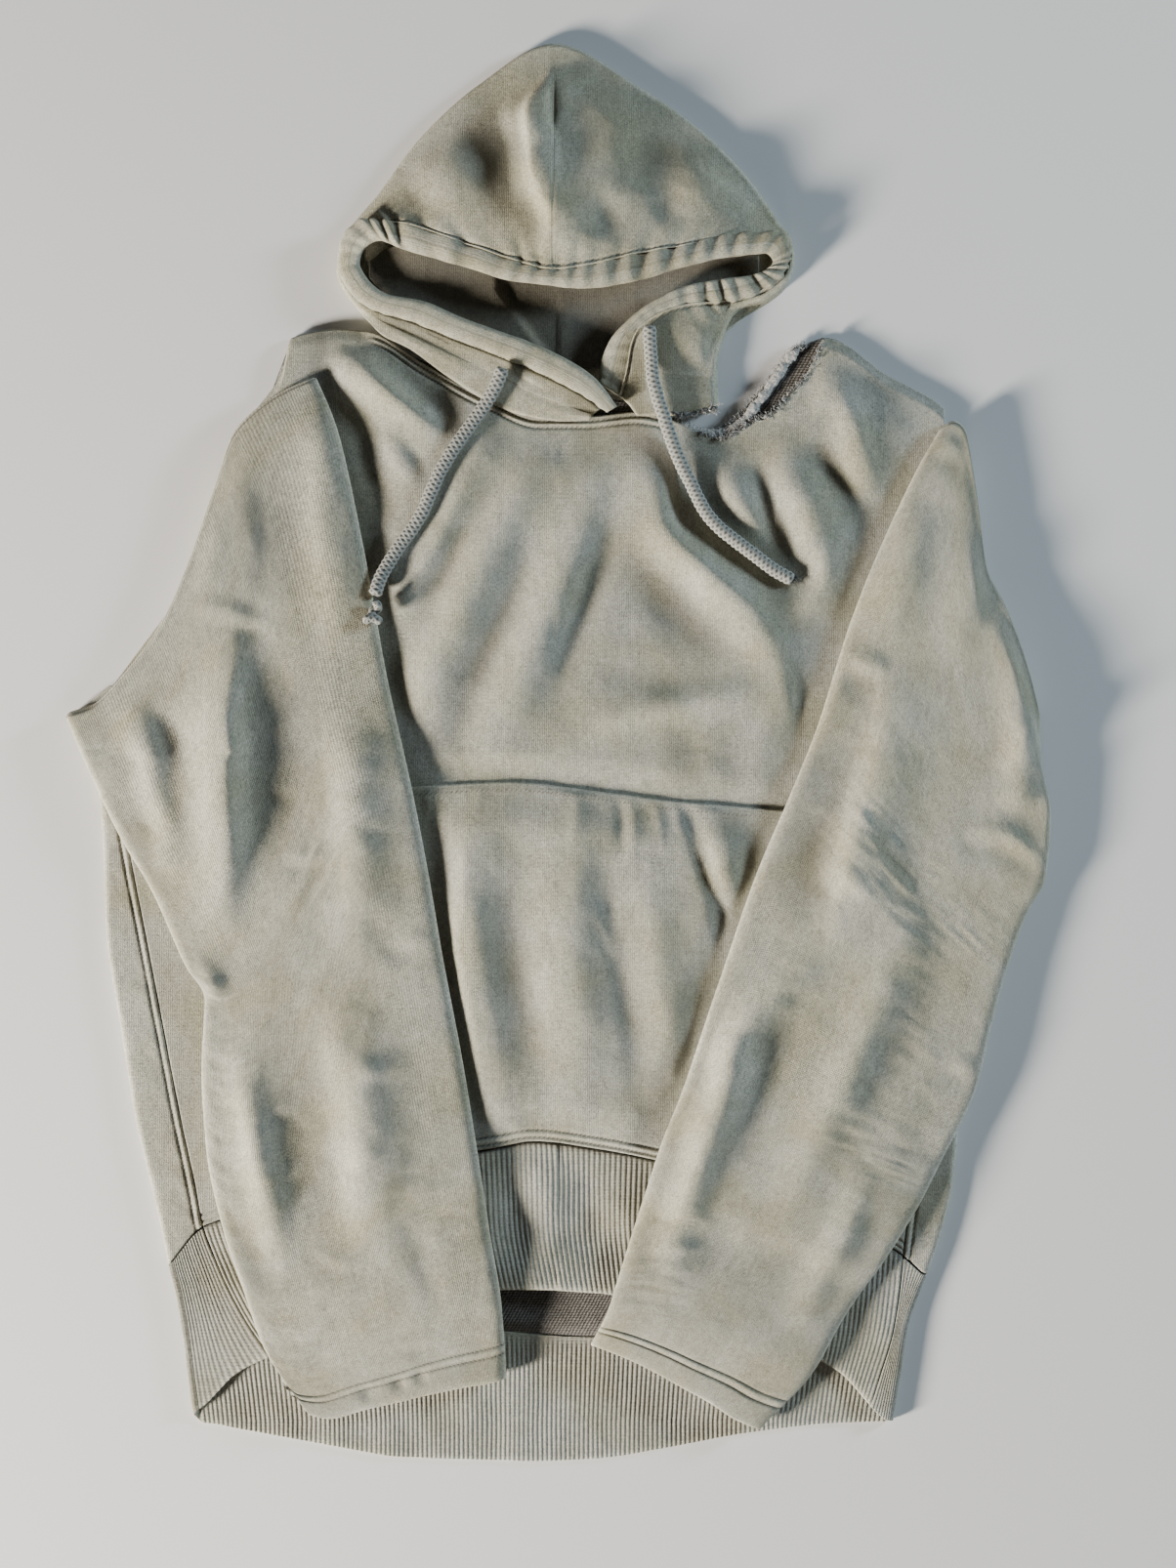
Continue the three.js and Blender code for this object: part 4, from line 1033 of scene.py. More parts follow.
POCKET_CREASES = [
    Crease(6.4, 8, 20, [(-46, -14), (-55, -60), (-61, -110), (-60, -160), (-54, -206), (-46, -252)]),
    Crease(-4.2, 15, 13, [(-26, -44), (-30, -92), (-26, -142), (-16, -190), (-10, -246)]),
    Crease(5.6, 20, 13, [(18, -10), (10, -70), (9, -130), (15, -190), (12, -254)]),
    Crease(1.8, 2.4, 5, [(22, -94), (31, -115), (45, -142)]),
    Crease(-3.8, 7, 7, [(30, -50), (34, -100), (43, -150), (51, -200), (58, -256)]),
    Crease(3.8, 9, 11, [(56, -50), (62, -110), (70, -170), (78, -226)]),
    Crease(-4.2, 5, 7, [(80, -26), (92, -66), (106, -104), (112, -146)]),
    Crease(4.0, 6, 11, [(92, -30), (106, -74), (118, -112)]),
    Crease(1.6, 3.4, 4.0, [(8, -20), (12, -40), (10, -64)]),
    Crease(2.6, 3.0, 3.4, [(45, -24), (48, -44), (46, -76)]),
    Crease(-2.4, 3.0, 3.4, [(38, -24), (40, -44), (41, -72)]),
    Crease(2.0, 3.0, 3.4, [(62, -27), (65, -46), (67, -66)]),
    Crease(2.2, 3.0, 3.4, [(76, -29), (79, -46), (86, -62)]),
    Crease(2.4, 3.0, 3.4, [(-84, -18), (-86, -36), (-93, -58)]),
    Crease(3.0, 2.6, 5, [(-30, -236), (-20, -247), (-9, -256)]),
]


def pocket_place(across, down):
    x = lerp(pocket_right_x(-150), pocket_left_x(-150), across) + 0 * down
    y = 0 * x - 150
    for _ in range(12):
        y = lerp(pocket_top_y(x), seam_y["front"](x) + 1, down)
        x = lerp(pocket_right_x(y), pocket_left_x(y), across)
    return x, y


# Top of what a sleeve rests on: the front, the pocket's thickness, and the open hem
def under_sleeve(x, y):
    on_pocket = (
        smooth_step(-60, -24, x - pocket_right_x(y)) * smooth_step(-60, -24, pocket_left_x(y) - x)
        * smooth_step(40, 10, y - pocket_top_y(x)) * smooth_step(-40, -14, y - seam_y["front"](x)))
    past_hem = smooth_step(0, -50, y - hem_y["front"](x))
    near_hem = smooth_step(70, 10, y - hem_y["front"](x)) * smooth_step(240, 40, np.abs(x))
    lift = (HEM_LIFT + SLEEVE_CLEARANCE) * near_hem * (1 - past_hem)
    sag = 2 * past_hem
    return FRONT_TOP + SLEEVE_CLEARANCE + (POCKET_TOP - FRONT_TOP) * on_pocket + lift - sag


RIGHT_SLEEVE_CREASES = [
    Crease(-4.2, 9, 30, [(-196, 196), (-190, 168), (-184, 134), (-187, 98)]),
    Crease(3.6, 10, 12, [(-160, 232), (-152, 196), (-150, 150), (-143, 100), (-136, 56)]),
    Crease(3.6, 9, 9, [(-222, 164), (-228, 128), (-238, 96)]),
    Crease(8.2, 17, 10, [(-208, 92), (-208, 64), (-211, 34), (-212, -12), (-212, -66), (-214, -124)]),
    Crease(-4.0, 12, 22, [(-180, 74), (-180, 30), (-180, -30), (-180, -96)]),
    Crease(4.6, 14, 14, [(-140, 44), (-130, -20), (-126, -84), (-130, -140)]),
    Crease(3.4, 4, 5, [(-240, 92), (-214, 91), (-196, 85), (-182, 85)]),
    Crease(-2.6, 5, 4, [(-206, 77), (-194, 76), (-180, 72)]),
    Crease(-2.2, 5, 6, [(-190, -28), (-176, -32), (-162, -30)]),
    Crease(1.4, 4, 5, [(-192, -20), (-174, -25), (-156, -22)]),
    Crease(2.4, 4, 4, [(-178, -66), (-162, -68), (-146, -66)]),
    Crease(-2.2, 4, 4, [(-178, -73), (-160, -75), (-146, -74)]),
    Crease(2.2, 5, 4, [(-120, -118), (-98, -119), (-82, -114)]),
    Crease(-2.0, 5, 5, [(-134, -42), (-118, -50), (-104, -60)]),
    Crease(-2.4, 6, 5, [(-272, -40), (-262, -52), (-252, -66)]),
    Crease(2.2, 4, 5, [(-268, -48), (-256, -60), (-246, -76)]),
    Crease(5.4, 13, 17, [(-142, -150), (-130, -210), (-122, -270), (-116, -330)]),
    Crease(-2.4, 18, 15, [(-172, -140), (-164, -210), (-156, -280), (-146, -350)]),
    Crease(4.8, 8, 11, [(-206, -176), (-197, -232), (-185, -290), (-172, -336)]),
    Crease(4.0, 6, 6, [(-242, -158), (-226, -154), (-210, -146)]),
    Crease(-3.0, 5, 5, [(-242, -167), (-226, -165), (-208, -164)]),
    Crease(3.2, 5, 5, [(-236, -132), (-224, -144), (-214, -160)]),
    Crease(-2.4, 6, 8, [(-122, -104), (-108, -122), (-92, -136)]),
    Crease(1.6, 5, 6, [(-190, -220), (-172, -230), (-152, -236)]),
    Crease(-1.4, 5, 6, [(-186, -229), (-168, -239), (-148, -244)]),
    Crease(2.4, 5, 6, [(-134, -196), (-112, -204), (-92, -200)]),
    Crease(-2.4, 8, 8, [(-264, 30), (-248, 14), (-232, -10)]),
    Crease(4.4, 8, 9, [(-286, 46), (-266, 8), (-254, -34), (-240, -84)]),
    Crease(-2.4, 6, 6, [(-96, -300), (-84, -330), (-78, -360)]),
    Crease(-3.6, 6, 6, [(-212, -292), (-200, -314), (-190, -332), (-186, -352)]),
    Crease(-9, 4, 4, [(-122, -404), (-120, -418)]),
    Crease(-9, 4, 4, [(-104, -400), (-102, -413)]),
    Crease(-8, 4, 4, [(-89, -396), (-87, -408)]),
    Crease(2.2, 5, 5, [(-160, -318), (-140, -326), (-120, -324)]),
]
LEFT_SLEEVE_CREASES = [
    Crease(-3.0, 5, 5, [(244, 180), (256, 186), (268, 194)]),
    Crease(3.0, 6, 6, [(240, 196), (252, 200), (264, 204)]),
    Crease(4.2, 14, 12, [(240, 160), (228, 134), (214, 98), (208, 62)]),
    Crease(4.4, 5, 6, [(184, 60), (198, 57), (214, 54)]),
    Crease(-3.6, 8, 7, [(180, 46), (196, 44), (208, 40)]),
    Crease(6.0, 9, 20, [(222, 60), (214, 34), (207, -4), (194, -48), (182, -104), (176, -140)]),
    Crease(-3.4, 14, 10, [(186, 10), (176, -30), (162, -72), (150, -108)]),
    Crease(8.2, 9, 12, [(174, -118), (150, -146), (125, -167), (111, -192), (103, -226), (91, -258),
                         (78, -300),
                        (70, -350)]),
    Crease(-2.0, 9, 9, [(176, -140), (150, -172), (134, -208), (120, -262)]),
    Crease(4.2, 8, 9, [(284, 92), (292, 50), (298, 6), (292, -38)]),
    Crease(4.2, 6, 8, [(312, 18), (296, 4), (284, -14)]),
    Crease(-3.4, 5, 5, [(318, -38), (300, -40), (280, -40)]),
    Crease(4.0, 6, 6, [(316, -26), (298, -28), (278, -30)]),
    Crease(3.6, 5, 6, [(316, -68), (288, -56), (258, -48)]),
    Crease(-3.2, 5, 5, [(316, -78), (286, -66), (256, -58)]),
    Crease(-3.0, 6, 6, [(284, -206), (264, -212), (246, -206)]),
    Crease(3.0, 5, 6, [(286, -194), (266, -200), (246, -194)]),
    Crease(4.4, 13, 13, [(232, -80), (212, -136), (188, -196), (162, -258), (142, -320)]),
    Crease(-2.8, 12, 10, [(250, -124), (228, -180), (202, -240)]),
    Crease(4.0, 10, 10, [(202, -262), (178, -316), (150, -370)]),
    Crease(-2.4, 7, 6, [(108, -150), (96, -186), (88, -220)]),
    Crease(2.4, 5, 5, [(166, -70), (184, -78), (200, -92)]),
    Crease(-2.2, 5, 5, [(160, -84), (178, -92), (194, -106)]),
    Crease(2.2, 4, 5, [(152, -30), (166, -34), (184, -40)]),
    Crease(2.4, 12, 12, [(270, 140), (262, 92), (254, 50)]),
    Crease(-2.4, 6, 6, [(246, -250), (228, -256), (210, -250)]),
]


class Sleeve:
    """A flattened tube between an inner and an outer edge, from the armhole line to the cuff."""

    def __init__(self, rows, ends, creases, seed):
        self.inner = (along(rows, "inner_x"), along(rows, "inner_y"))
        self.outer = (along(rows, "outer_x"), along(rows, "outer_y"))
        self.arm = (column(ends, "across", "arm_x"), column(ends, "across", "arm_y"))
        self.cuff = (column(ends, "across", "cuff_x"), column(ends, "across", "cuff_y"))
        self.arm_z = column(ends, "across", "arm_z")
        self.creases = creases
        self.seed = seed

    def blend(self, u, v, axis):
        arm, cuff, inner, outer = (side[axis] for side in (self.arm, self.cuff, self.inner, self.outer))
        corners = lerp(lerp(arm(0), arm(1), u), lerp(cuff(0), cuff(1), u), v)
        return lerp(arm(u), cuff(u), v) + lerp(inner(v), outer(v), u) - corners

    def points(self, station, share, anchor, inset, level):
        """Places for rows of stations against a section: shares across, or insets from an edge."""
        lower_start = ARMHOLE_ROLL / SLEEVE_LENGTH
        v = lerp(station, lerp(lower_start, 1, station), (1 - level) / 2)
        from_arm = station * SLEEVE_LENGTH
        width = np.hypot(self.inner[0](v) - self.outer[0](v), self.inner[1](v) - self.outer[1](v))
        edge = np.where(level > 0, SLEEVE_EDGE, FOLD_REACH) / width
        u = np.where(share >= 0, lerp(edge, 1 - edge, share), np.abs(anchor - inset / width))
        x = self.blend(u, v, 0)
        y = self.blend(u, v, 1)
        base = under_sleeve(x, y) - (SLEEVE_CLEARANCE - SEAM_GAP) * smooth_step(30, 8, from_arm)
        roll = np.sqrt(1 - (1 - clamp01(from_arm / ARMHOLE_ROLL)) ** 2)
        upper = np.maximum(0, level)
        in_edge = np.minimum(u, 1 - u) * width
        open_cloth = smooth_step(0, 14, in_edge) * smooth_step(6, 50, from_arm)
        from_cuff = (1 - v) * SLEEVE_LENGTH
        hem = smooth_step(4, 44, from_cuff)
        folds = 1.4 * crease_height(self.creases, x, y, 2.0, self.seed) * lerp(0.35, 1, hem)
        folds = np.maximum(folds, 0.62 * folds)
        ridge = folds * open_cloth
        pillow = 2.6 * np.sin(np.pi * clamp01(u)) ** 0.8 * smooth_step(8, 60, from_arm)
        grooves = stitch_groove(from_cuff - CUFF_STITCHES[0]) + stitch_groove(from_cuff - CUFF_STITCHES[1])
        puff = 0.5 * bell(from_cuff - 10, 8) + 0.35 * bell(from_cuff - 23, 2.4)
        seam = -0.9 * bell(from_arm - 4.5, 1.2) * smooth_step(0, 2, from_arm)
        patchy = smooth_step(-0.2, 0.7, noise(x, y, 38, self.seed + 5))
        slubs = 0.75 * patchy * noise(u * width * 0.22, v * SLEEVE_LENGTH, 3.6, self.seed + 6)
        slubs = slubs + 0.5 * patchy * noise(u * width * 0.4, v * SLEEVE_LENGTH, 7, self.seed + 7)
        slubs = 0.75 * slubs * open_cloth * hem * smooth_step(110, 230, from_arm)
        relief = (ridge + lumps(x, y, self.seed) + slubs + pillow + grooves + puff + seam) * upper ** 0.5
        flat = base + SLEEVE_HEIGHT * (1 + level) / 2 + relief
        rolled = lerp(self.arm_z(u), flat, roll)
        z = lerp(flat, rolled, (1 + level) / 2)
        return np.stack([x, y, z], axis=2), u, v, folds * open_cloth * upper


# Body panels


def flat_place(x, y):
    """Cloth coordinates of a panel whose wales run up the garment."""
    return np.stack([x, -y], axis=2)


NECK_STITCHES = (3.2, 7.4)       # twin rows below the neck seam
HEM_STITCHES = (3.4, 8.2)        # and above the hem seam


def make_front(materials):
    rows = graded(490, CLOTH_STEP, (0, 4, 8, 482, 487, 490))
    across = graded(545, CLOTH_STEP, (0, 545))
    u, v = np.meshgrid(across, rows)
    x, y = body_place("front", u, v)
    from_top = top_y["front"](x) - y
    above_hem = y - seam_y["front"](x)
    sewn = smooth_step(-124, -116, x) * smooth_step(76, 70, x)
    grooves = sum(stitch_groove(from_top - row) for row in NECK_STITCHES) * sewn
    grooves = grooves + sum(stitch_groove(above_hem - row) for row in HEM_STITCHES)
    grooves = grooves + 0.5 * bell(from_top - 5.4, 1.8) * sewn
    z = front_height(x, y) + lumps(x, y, 31) * bareness(x, y) * smooth_step(0, 6, from_top) + grooves
    folds = crease_height(FRONT_CREASES, x, y) * bareness(x, y, 1, 16)
    # lighter with rubbing and painted highlight on the band between the neck stitches and on fold tops;
    # painted shade in the stitched grooves, in troughs and beside the sleeve
    masks = {
        "wear": rubbing_and_highlight_along(from_top, 5.3, 2.2) * sewn + ridge_highlight(folds),
        "shade": 0.5 * soft_shade(from_top, NECK_STITCHES) * sewn + trough_shade(folds)
        + beside_sleeve(x, y),
        "stitch": soft_shade(from_top, NECK_STITCHES) * sewn,
    }
    points = np.stack([x, y, z], axis=2)
    mesh = closed_wall("front", *cloth_wall(points, flat_place(x, y), FLEECE, masks=masks))
    piece = add_piece("front", mesh, materials["fleece"], "fleece", ["front_panel"])
    area = area_within(right_seam_x, left_seam_x, seam_y["front"], top_y["front"])


def rubbing_and_highlight_along(distance, middle, reach):
    """Lighter cloth along a line, from rubbing and a painted highlight: 1 on it, fading to both sides."""
    return bell(distance - middle, reach)


def ridge_highlight(folds):
    """Painted highlight on the top of a fold: 1 on the highest."""
    return 0.7 * clamp01(folds / 7)


def trough_shade(folds):
    """Painted shade in the bottom of a trough: how much darker it is."""
    return 0.50 * clamp01(-folds / 4)


def beside_sleeve(x, y):
    """Painted shade on the cloth that lies along the wearer's right sleeve."""
    return 0.5 * bell(x - right_inner_x(y) - 2, 9)


def soft_shade(distance, rows):
    """Dark line in the bottom of a stitched groove."""
    return sum(bell(distance - row, 0.8) for row in rows) * 0.8


def make_back(materials):
    rows = graded(600, 9, (0, 8, 600))
    across = graded(545, 4)
    u, v = np.meshgrid(across, rows)
    x, y = body_place("back", u, v)
    z = FLEECE + 0 * x + 0.35 * noise(x, y, 8, 41) * smooth_step(0, 5, top_y["back"](x) - y)
    points = np.stack([x, y, z], axis=2)
    outer, inner = cloth_wall(points, flat_place(x, y), FLEECE, floor=0)
    inner.points[..., 2] = np.minimum(inner.points[..., 2], 0.25 * (from_border(inner.points) < 1))
    mesh = closed_wall("back", outer, inner)
    piece = add_piece("back", mesh, materials["terry"], "fleece", ["back_panel"])
    show_face_below(piece, points.shape, materials["fleece"])
    area = area_within(right_seam_x, left_seam_x, seam_y["back"], top_y["back"])


def show_face_below(piece, shape, face):
    """The loopback side of a wall is its upper one: gives its lower side the cloth's face."""
    piece.data.materials.append(face)
    cells = (shape[0] - 1) * (shape[1] - 1)
    for polygon in piece.data.polygons[cells:2 * cells]:
        polygon.material_index = 1


def side_points(fold_x, across, outward, turn, down):
    """A side panel from the front seam over the side fold to the back seam."""
    front = body_place("front", across, down)
    back = body_place("back", across, down)
    front_end = body_place("front", across, 0 * down + 1)
    back_end = body_place("back", across, 0 * down + 1)
    under = clamp01(0.5 - turn / 2)
    seam_x = lerp(front[0], back[0], under) + outward * SEAM_GAP
    to_last_row = lerp(front_end[0] - front[0], back_end[0] - back[0], under)
    angle = np.clip(turn, -1, 1) * math.pi / 2
    x = seam_x
    y = lerp(front[1], back[1], under)
    for _ in range(6):
        reach = np.minimum(FOLD_REACH, np.abs(fold_x(y) - seam_x) * 0.6)
        rounded = fold_x(y) - outward * (0.2 + reach * (1 - np.cos(angle)))
        x = lerp(rounded, seam_x, np.maximum(0, np.abs(turn) - 1))
        flat_x = outward * np.minimum(outward * x, outward * fold_x(y) - FOLD_REACH)
        seam = lerp(seam_y["front"](flat_x + to_last_row), seam_y["back"](flat_x + to_last_row), under)
        slant = seam + SEAM_GAP - lerp(front_end[1], back_end[1], under)
        y = lerp(front[1], back[1], under) + down ** 4 * slant
    return x, y, FRONT_TOP / 2 * (1 + np.sin(angle))


SIDE_START = 0.30                # share of the front seam where the underarm ends
SIDE_STITCHES = 4.6              # the row in a side panel, from its front seam


def make_side(name, node, fold_x, across, outward, seed, materials):
    turns = np.concatenate([
        lerp(2, 1, graded(18, 1.1, (0, 3, 6.5))),
        np.linspace(1, -1, 13)[1:],
        np.linspace(-1, -2, 6)[1:],
    ])
    if outward < 0:
        turns = turns[::-1]
    rows = lerp(SIDE_START, 1, graded(330, CLOTH_STEP, (0, 330)))
    turn, down = np.meshgrid(turns, rows)
    x, y, z = side_points(fold_x, across, outward, turn, down)
    seam = right_seam_x if outward < 0 else left_seam_x
    from_seam = outward * (x - seam(y))
    upper = smooth_step(0.6, 1.2, turn)
    grooves = stitch_groove(from_seam - SIDE_STITCHES) + 0.45 * bell(from_seam - 2.4, 1.4)
    puckers = 0.5 * noise(0 * x, y, 7, seed) * bell(from_seam - 7, 5) + lumps(x, y, seed)
    z = z + (grooves + puckers) * upper
    # lighter with rubbing and painted highlight along the seam and at the fold of the side; painted shade in
    # the stitched groove
    masks = {
        "wear": rubbing_and_highlight_along(from_seam, 2.4, 1.6) * upper + 0.8 * bell(turn, 0.9),
        "shade": 0.5 * soft_shade(from_seam, (SIDE_STITCHES,)) * upper,
        "stitch": soft_shade(from_seam, (SIDE_STITCHES,)) * upper,
    }
    points = np.stack([x, y, z], axis=2)
    mesh = closed_wall(name, *cloth_wall(points, flat_place(x, y), FLEECE, masks=masks, floor=0))
    piece = add_piece(name, mesh, materials["fleece"], "fleece", [node])
    edges = (fold_x, seam) if outward < 0 else (seam, fold_x)
    turn_area = (math.pi / 2 - 1) * FRONT_TOP * (y.max() - y.min()) / 1e6
    area = 2 * area_within(*edges, seam_y["front"], straight(y.max())) + turn_area


def make_pocket(materials):
    rows = graded(236, 2.2, (0, 1.5, 228, 232, 236), reach=4)
    across = graded(340, 2.2, (0, 340))
    u, v = np.meshgrid(across, rows)
    x, y = pocket_place(u, v)
    from_top = pocket_top_y(x) - y
    above_hem = y - seam_y["front"](x)
    grooves = sum(stitch_groove(above_hem - row) for row in HEM_STITCHES)
    grooves = grooves + 0.35 * bell(above_hem - 5.8, 1.6)
    open_cloth = bareness(x, y, 2, 26) * smooth_step(2, 30, from_top) * smooth_step(2, 30, above_hem)
    creases = crease_height(POCKET_CREASES, x, y, 1.2) * bareness(x, y, 1, 12)
    creases = creases * smooth_step(0, 5, from_top) * smooth_step(0, 16, above_hem)
    folds = creases + OPEN_LIFT * open_cloth
    relief = lumps(x, y, 47) * smooth_step(0, 8, from_top)
    roll = -0.5 * smooth_step(4, 0, from_top)
    level = front_height(x, y, pocket=True) + SEAM_GAP + FLEECE
    z = level + np.maximum(folds, -1.9) + relief + grooves + roll
    # lighter with rubbing and painted highlight at the top edge, along the hem band and on fold tops; painted
    # shade in the stitched grooves, in troughs and beside the sleeve
    masks = {
        "wear": 0.9 * rubbing_and_highlight_along(from_top, 0.6, 1.4) + rubbing_and_highlight_along(above_hem, 5.8, 1.8) + ridge_highlight(creases),
        "shade": 0.5 * soft_shade(above_hem, HEM_STITCHES) + trough_shade(creases)
        + beside_sleeve(x, y),
        "stitch": soft_shade(above_hem, HEM_STITCHES) + 0.7 * bell(from_top - 5, 0.7),
    }
    points = np.stack([x, y, z], axis=2)
    mesh = closed_wall("kangaroo_pocket", *cloth_wall(points, flat_place(x, y), FLEECE, masks=masks))
    piece = add_piece("kangaroo_pocket", mesh, materials["fleece"], "fleece", ["pocket"])
    area = area_within(pocket_right_x, pocket_left_x, seam_y["front"], pocket_top_y)


# Ribs


def rib_place(layer, across, down):
    x = lerp(right_seam_x(-360), left_seam_x(-360), across) + 0 * down
    y = 0 * x - 360
    for _ in range(12):
        y = lerp(seam_y[layer](x) - 2 * SEAM_GAP, hem_y[layer](x), down)
        x = lerp(right_seam_x(y) + SEAM_GAP / 2, left_seam_x(y) - SEAM_GAP / 2, across)
    return x, y


def rib_profile(phase):
    """Height of a rib over its pitch, 1 on top and 0 in the furrow."""
    return (0.5 - 0.5 * np.cos(2 * math.pi * phase)) ** 0.7


RIB_BASE = FRONT_TOP - RIB_HEIGHT
POINTS_PER_RIB = 7
FRONT_RIB_CREASES = [
    Crease(2.2, 7, 8, [(-44, -262), (-46, -286), (-44, -312), (-46, -336)]),
    Crease(-1.5, 8, 7, [(-30, -262), (-28, -292), (-26, -330)]),
    Crease(2.4, 10, 9, [(-8, -258), (-4, -290), (-6, -338)]),
    Crease(-1.5, 8, 8, [(18, -262), (22, -296), (20, -336)]),
    Crease(2.0, 8, 8, [(44, -266), (46, -300), (48, -344)]),
    Crease(1.6, 12, 10, [(-226, -318), (-206, -350), (-186, -384)]),
]


def make_front_rib(materials):
    count = round((left_seam_x(-345) - right_seam_x(-345)) / RIB_PITCH)
    across = np.linspace(0, 1, count * POINTS_PER_RIB + 1)
    rows = graded(96, 3.2, (0, 96))
    u, v = np.meshgrid(across, rows)
    wander = 0.10 * noise(u * 430, v * 96, 22, 61)
    x, y = rib_place("front", u, v)
    profile = rib_profile(u * count + wander)
    sewn = smooth_step(0, 0.05, v) * smooth_step(1, 0.965, v)
    folds = crease_height(FRONT_RIB_CREASES, x, y, 1.0) * smooth_step(0, 0.2, v)
    height = RIB_BASE + hem_lift(x, y) + folds + 0.5 * noise(x, y, 16, 62)
    z = height + RIB_HEIGHT * (RIB_RISE * profile + RIB_FURROW) * lerp(0.45, 1, sewn)
    # lighter with rubbing and painted highlight at the hem's edge and on the ribs' tops; painted shade along
    # its top seam
    masks = {
        "furrow": (1 - profile) * lerp(0.5, 1, sewn),
        "wear": smooth_step(0.94, 0.985, v) * 1.2 + 0.2 * profile,
        "shade": 0.8 * smooth_step(0.03, 0, v),
    }
    points = np.stack([x, y, z], axis=2)
    outer, inner = cloth_wall(points, flat_place(x, y), RIB_CLOTH, masks=masks, thin=8)
    plain = RIB_BASE - RIB_CLOTH + hem_lift(inner.points[..., 0], inner.points[..., 1])
    border = from_border(inner.points) < 0.05
    inner.points[..., 2] = np.where(border, inner.points[..., 2], plain)
    mesh = closed_wall("front_hem_rib", outer, inner)
    piece = add_piece("front_hem_rib", mesh, materials["rib"], "rib", ["hem_rib_front"])
    area = area_within(right_seam_x, left_seam_x, hem_y["front"], seam_y["front"])


def wrap_points(side, turn, down, rise):
    """The back rib where it folds over a side to the front rib's seam."""
    fold_x = right_fold_x if side < 0 else left_fold_x
    seam = rib_place("front", 0.0 if side < 0 else 1.0, down)
    under = clamp01(0.5 - turn / 2)
    angle = np.minimum(1, turn) * math.pi / 2
    x = seam[0] + 0 * turn
    y = seam[1] + 0 * turn
    for _ in range(8):
        rounded = fold_x(y) - side * (FOLD_REACH - (FOLD_REACH + rise) * np.cos(angle))
        x = lerp(rounded, seam[0] + side * SEAM_GAP, clamp01(turn - 1))
        flat_x = side * np.minimum(side * x, side * fold_x(y) - FOLD_REACH)
        top = lerp(seam_y["front"](flat_x), seam_y["back"](flat_x), under) - 4 * SEAM_GAP
        y = lerp(top, lerp(hem_y["front"](flat_x), hem_y["back"](flat_x), under), down)
    height = RIB_BASE + hem_lift(*seam) * (1 - under)
    return np.stack([x, y, height / 2 + (height / 2 + rise) * np.sin(angle)], axis=2)


def back_rib_points(across, down, z):
    x = 0 * across * down
    y = 0 * x
    for _ in range(8):
        y = lerp(seam_y["back"](x) - 2 * SEAM_GAP, hem_y["back"](x), down)
        x = lerp(right_fold_x(y) + FOLD_REACH, left_fold_x(y) - FOLD_REACH, across)
    return np.stack([x, y, z + 0 * x], axis=2)


def make_back_rib(materials):
    """Flat on the floor in the middle, wrapped over both sides, with its ribs where they show."""
    rows = graded(82, 3.2, (0, 82))[:, None]
    wraps = {-1: 14, 1: 6}       # ribs in each wrap, where it lies on the front
    outer_parts = {}
    inner_parts = {}
    furrows = {}
    for side, ribs in wraps.items():
        turn = np.linspace(2, -1, 3 * ribs * POINTS_PER_RIB // 2 + 12)[None, :]
        phase = (2 - turn) * ribs
        shown = smooth_step(-0.9, -0.3, turn)
        profile = rib_profile(phase) * shown
        rise = RIB_HEIGHT * (RIB_RISE * profile + RIB_FURROW * shown)
        outer_parts[side] = wrap_points(side, turn, rows, rise)
        furrows[side] = (1 - rib_profile(phase)) * shown + 0 * rows
        inner_parts[side] = wrap_points(side, np.linspace(2, -1, 12)[None, :], rows, -RIB_CLOTH)
    under = back_rib_points(np.linspace(0, 1, 60)[None, 1:-1], rows, 0)
    count = round((left_fold_x(-385) - right_fold_x(-385)) / RIB_PITCH)
    across = np.linspace(0, 1, count * POINTS_PER_RIB + 1)[None, 1:-1]
    waves = rib_profile(across * count + 0.10 * noise(across * 460, rows * 60, 15, 66))
    seam_band = smooth_step(0.02, 0.09, rows)
    lift = RIB_CLOTH + RIB_HEIGHT * (RIB_RISE * waves + RIB_FURROW) * lerp(0.15, 1, seam_band)
    upper = back_rib_points(across, rows, lift + 0.3 * noise(across * 460, rows * 60, 18, 67))
    outer = np.concatenate([outer_parts[-1], under, outer_parts[1][:, ::-1]], axis=1)[:, ::-1]
    inner = np.concatenate([inner_parts[-1], upper, inner_parts[1][:, ::-1]], axis=1)[:, ::-1]
    flat = 0 * under[..., 0]
    outer_furrow = np.concatenate([furrows[-1], flat, furrows[1][:, ::-1]], axis=1)[:, ::-1]
    edge = [0 * part[..., 0] for part in (inner_parts[-1], inner_parts[1])]
    inner_furrow = np.concatenate([edge[0], (1 - waves) * seam_band, edge[1]], axis=1)[:, ::-1]
    grids = []
    for points, furrow in ((outer, outer_furrow), (inner, inner_furrow)):
        hem = smooth_step(0.95, 0.99, rows) + 0 * furrow
        # lighter with rubbing and painted highlight at the hem's edge
        masks = {"furrow": furrow, "wear": hem, "shade": 0 * furrow}
        grids.append(Grid(points, flat_place(points[..., 0], points[..., 1]), masks))
    mesh = closed_wall("back_hem_rib", *grids)
    piece = add_piece("back_hem_rib", mesh, materials["rib"], "rib", ["hem_rib_back"])
    area = area_within(right_fold_x, left_fold_x, hem_y["back"], seam_y["back"])
    area += area_within(right_fold_x, right_seam_x, hem_y["front"], seam_y["front"])
    area += area_within(left_seam_x, left_fold_x, hem_y["front"], seam_y["front"])


# Sleeves


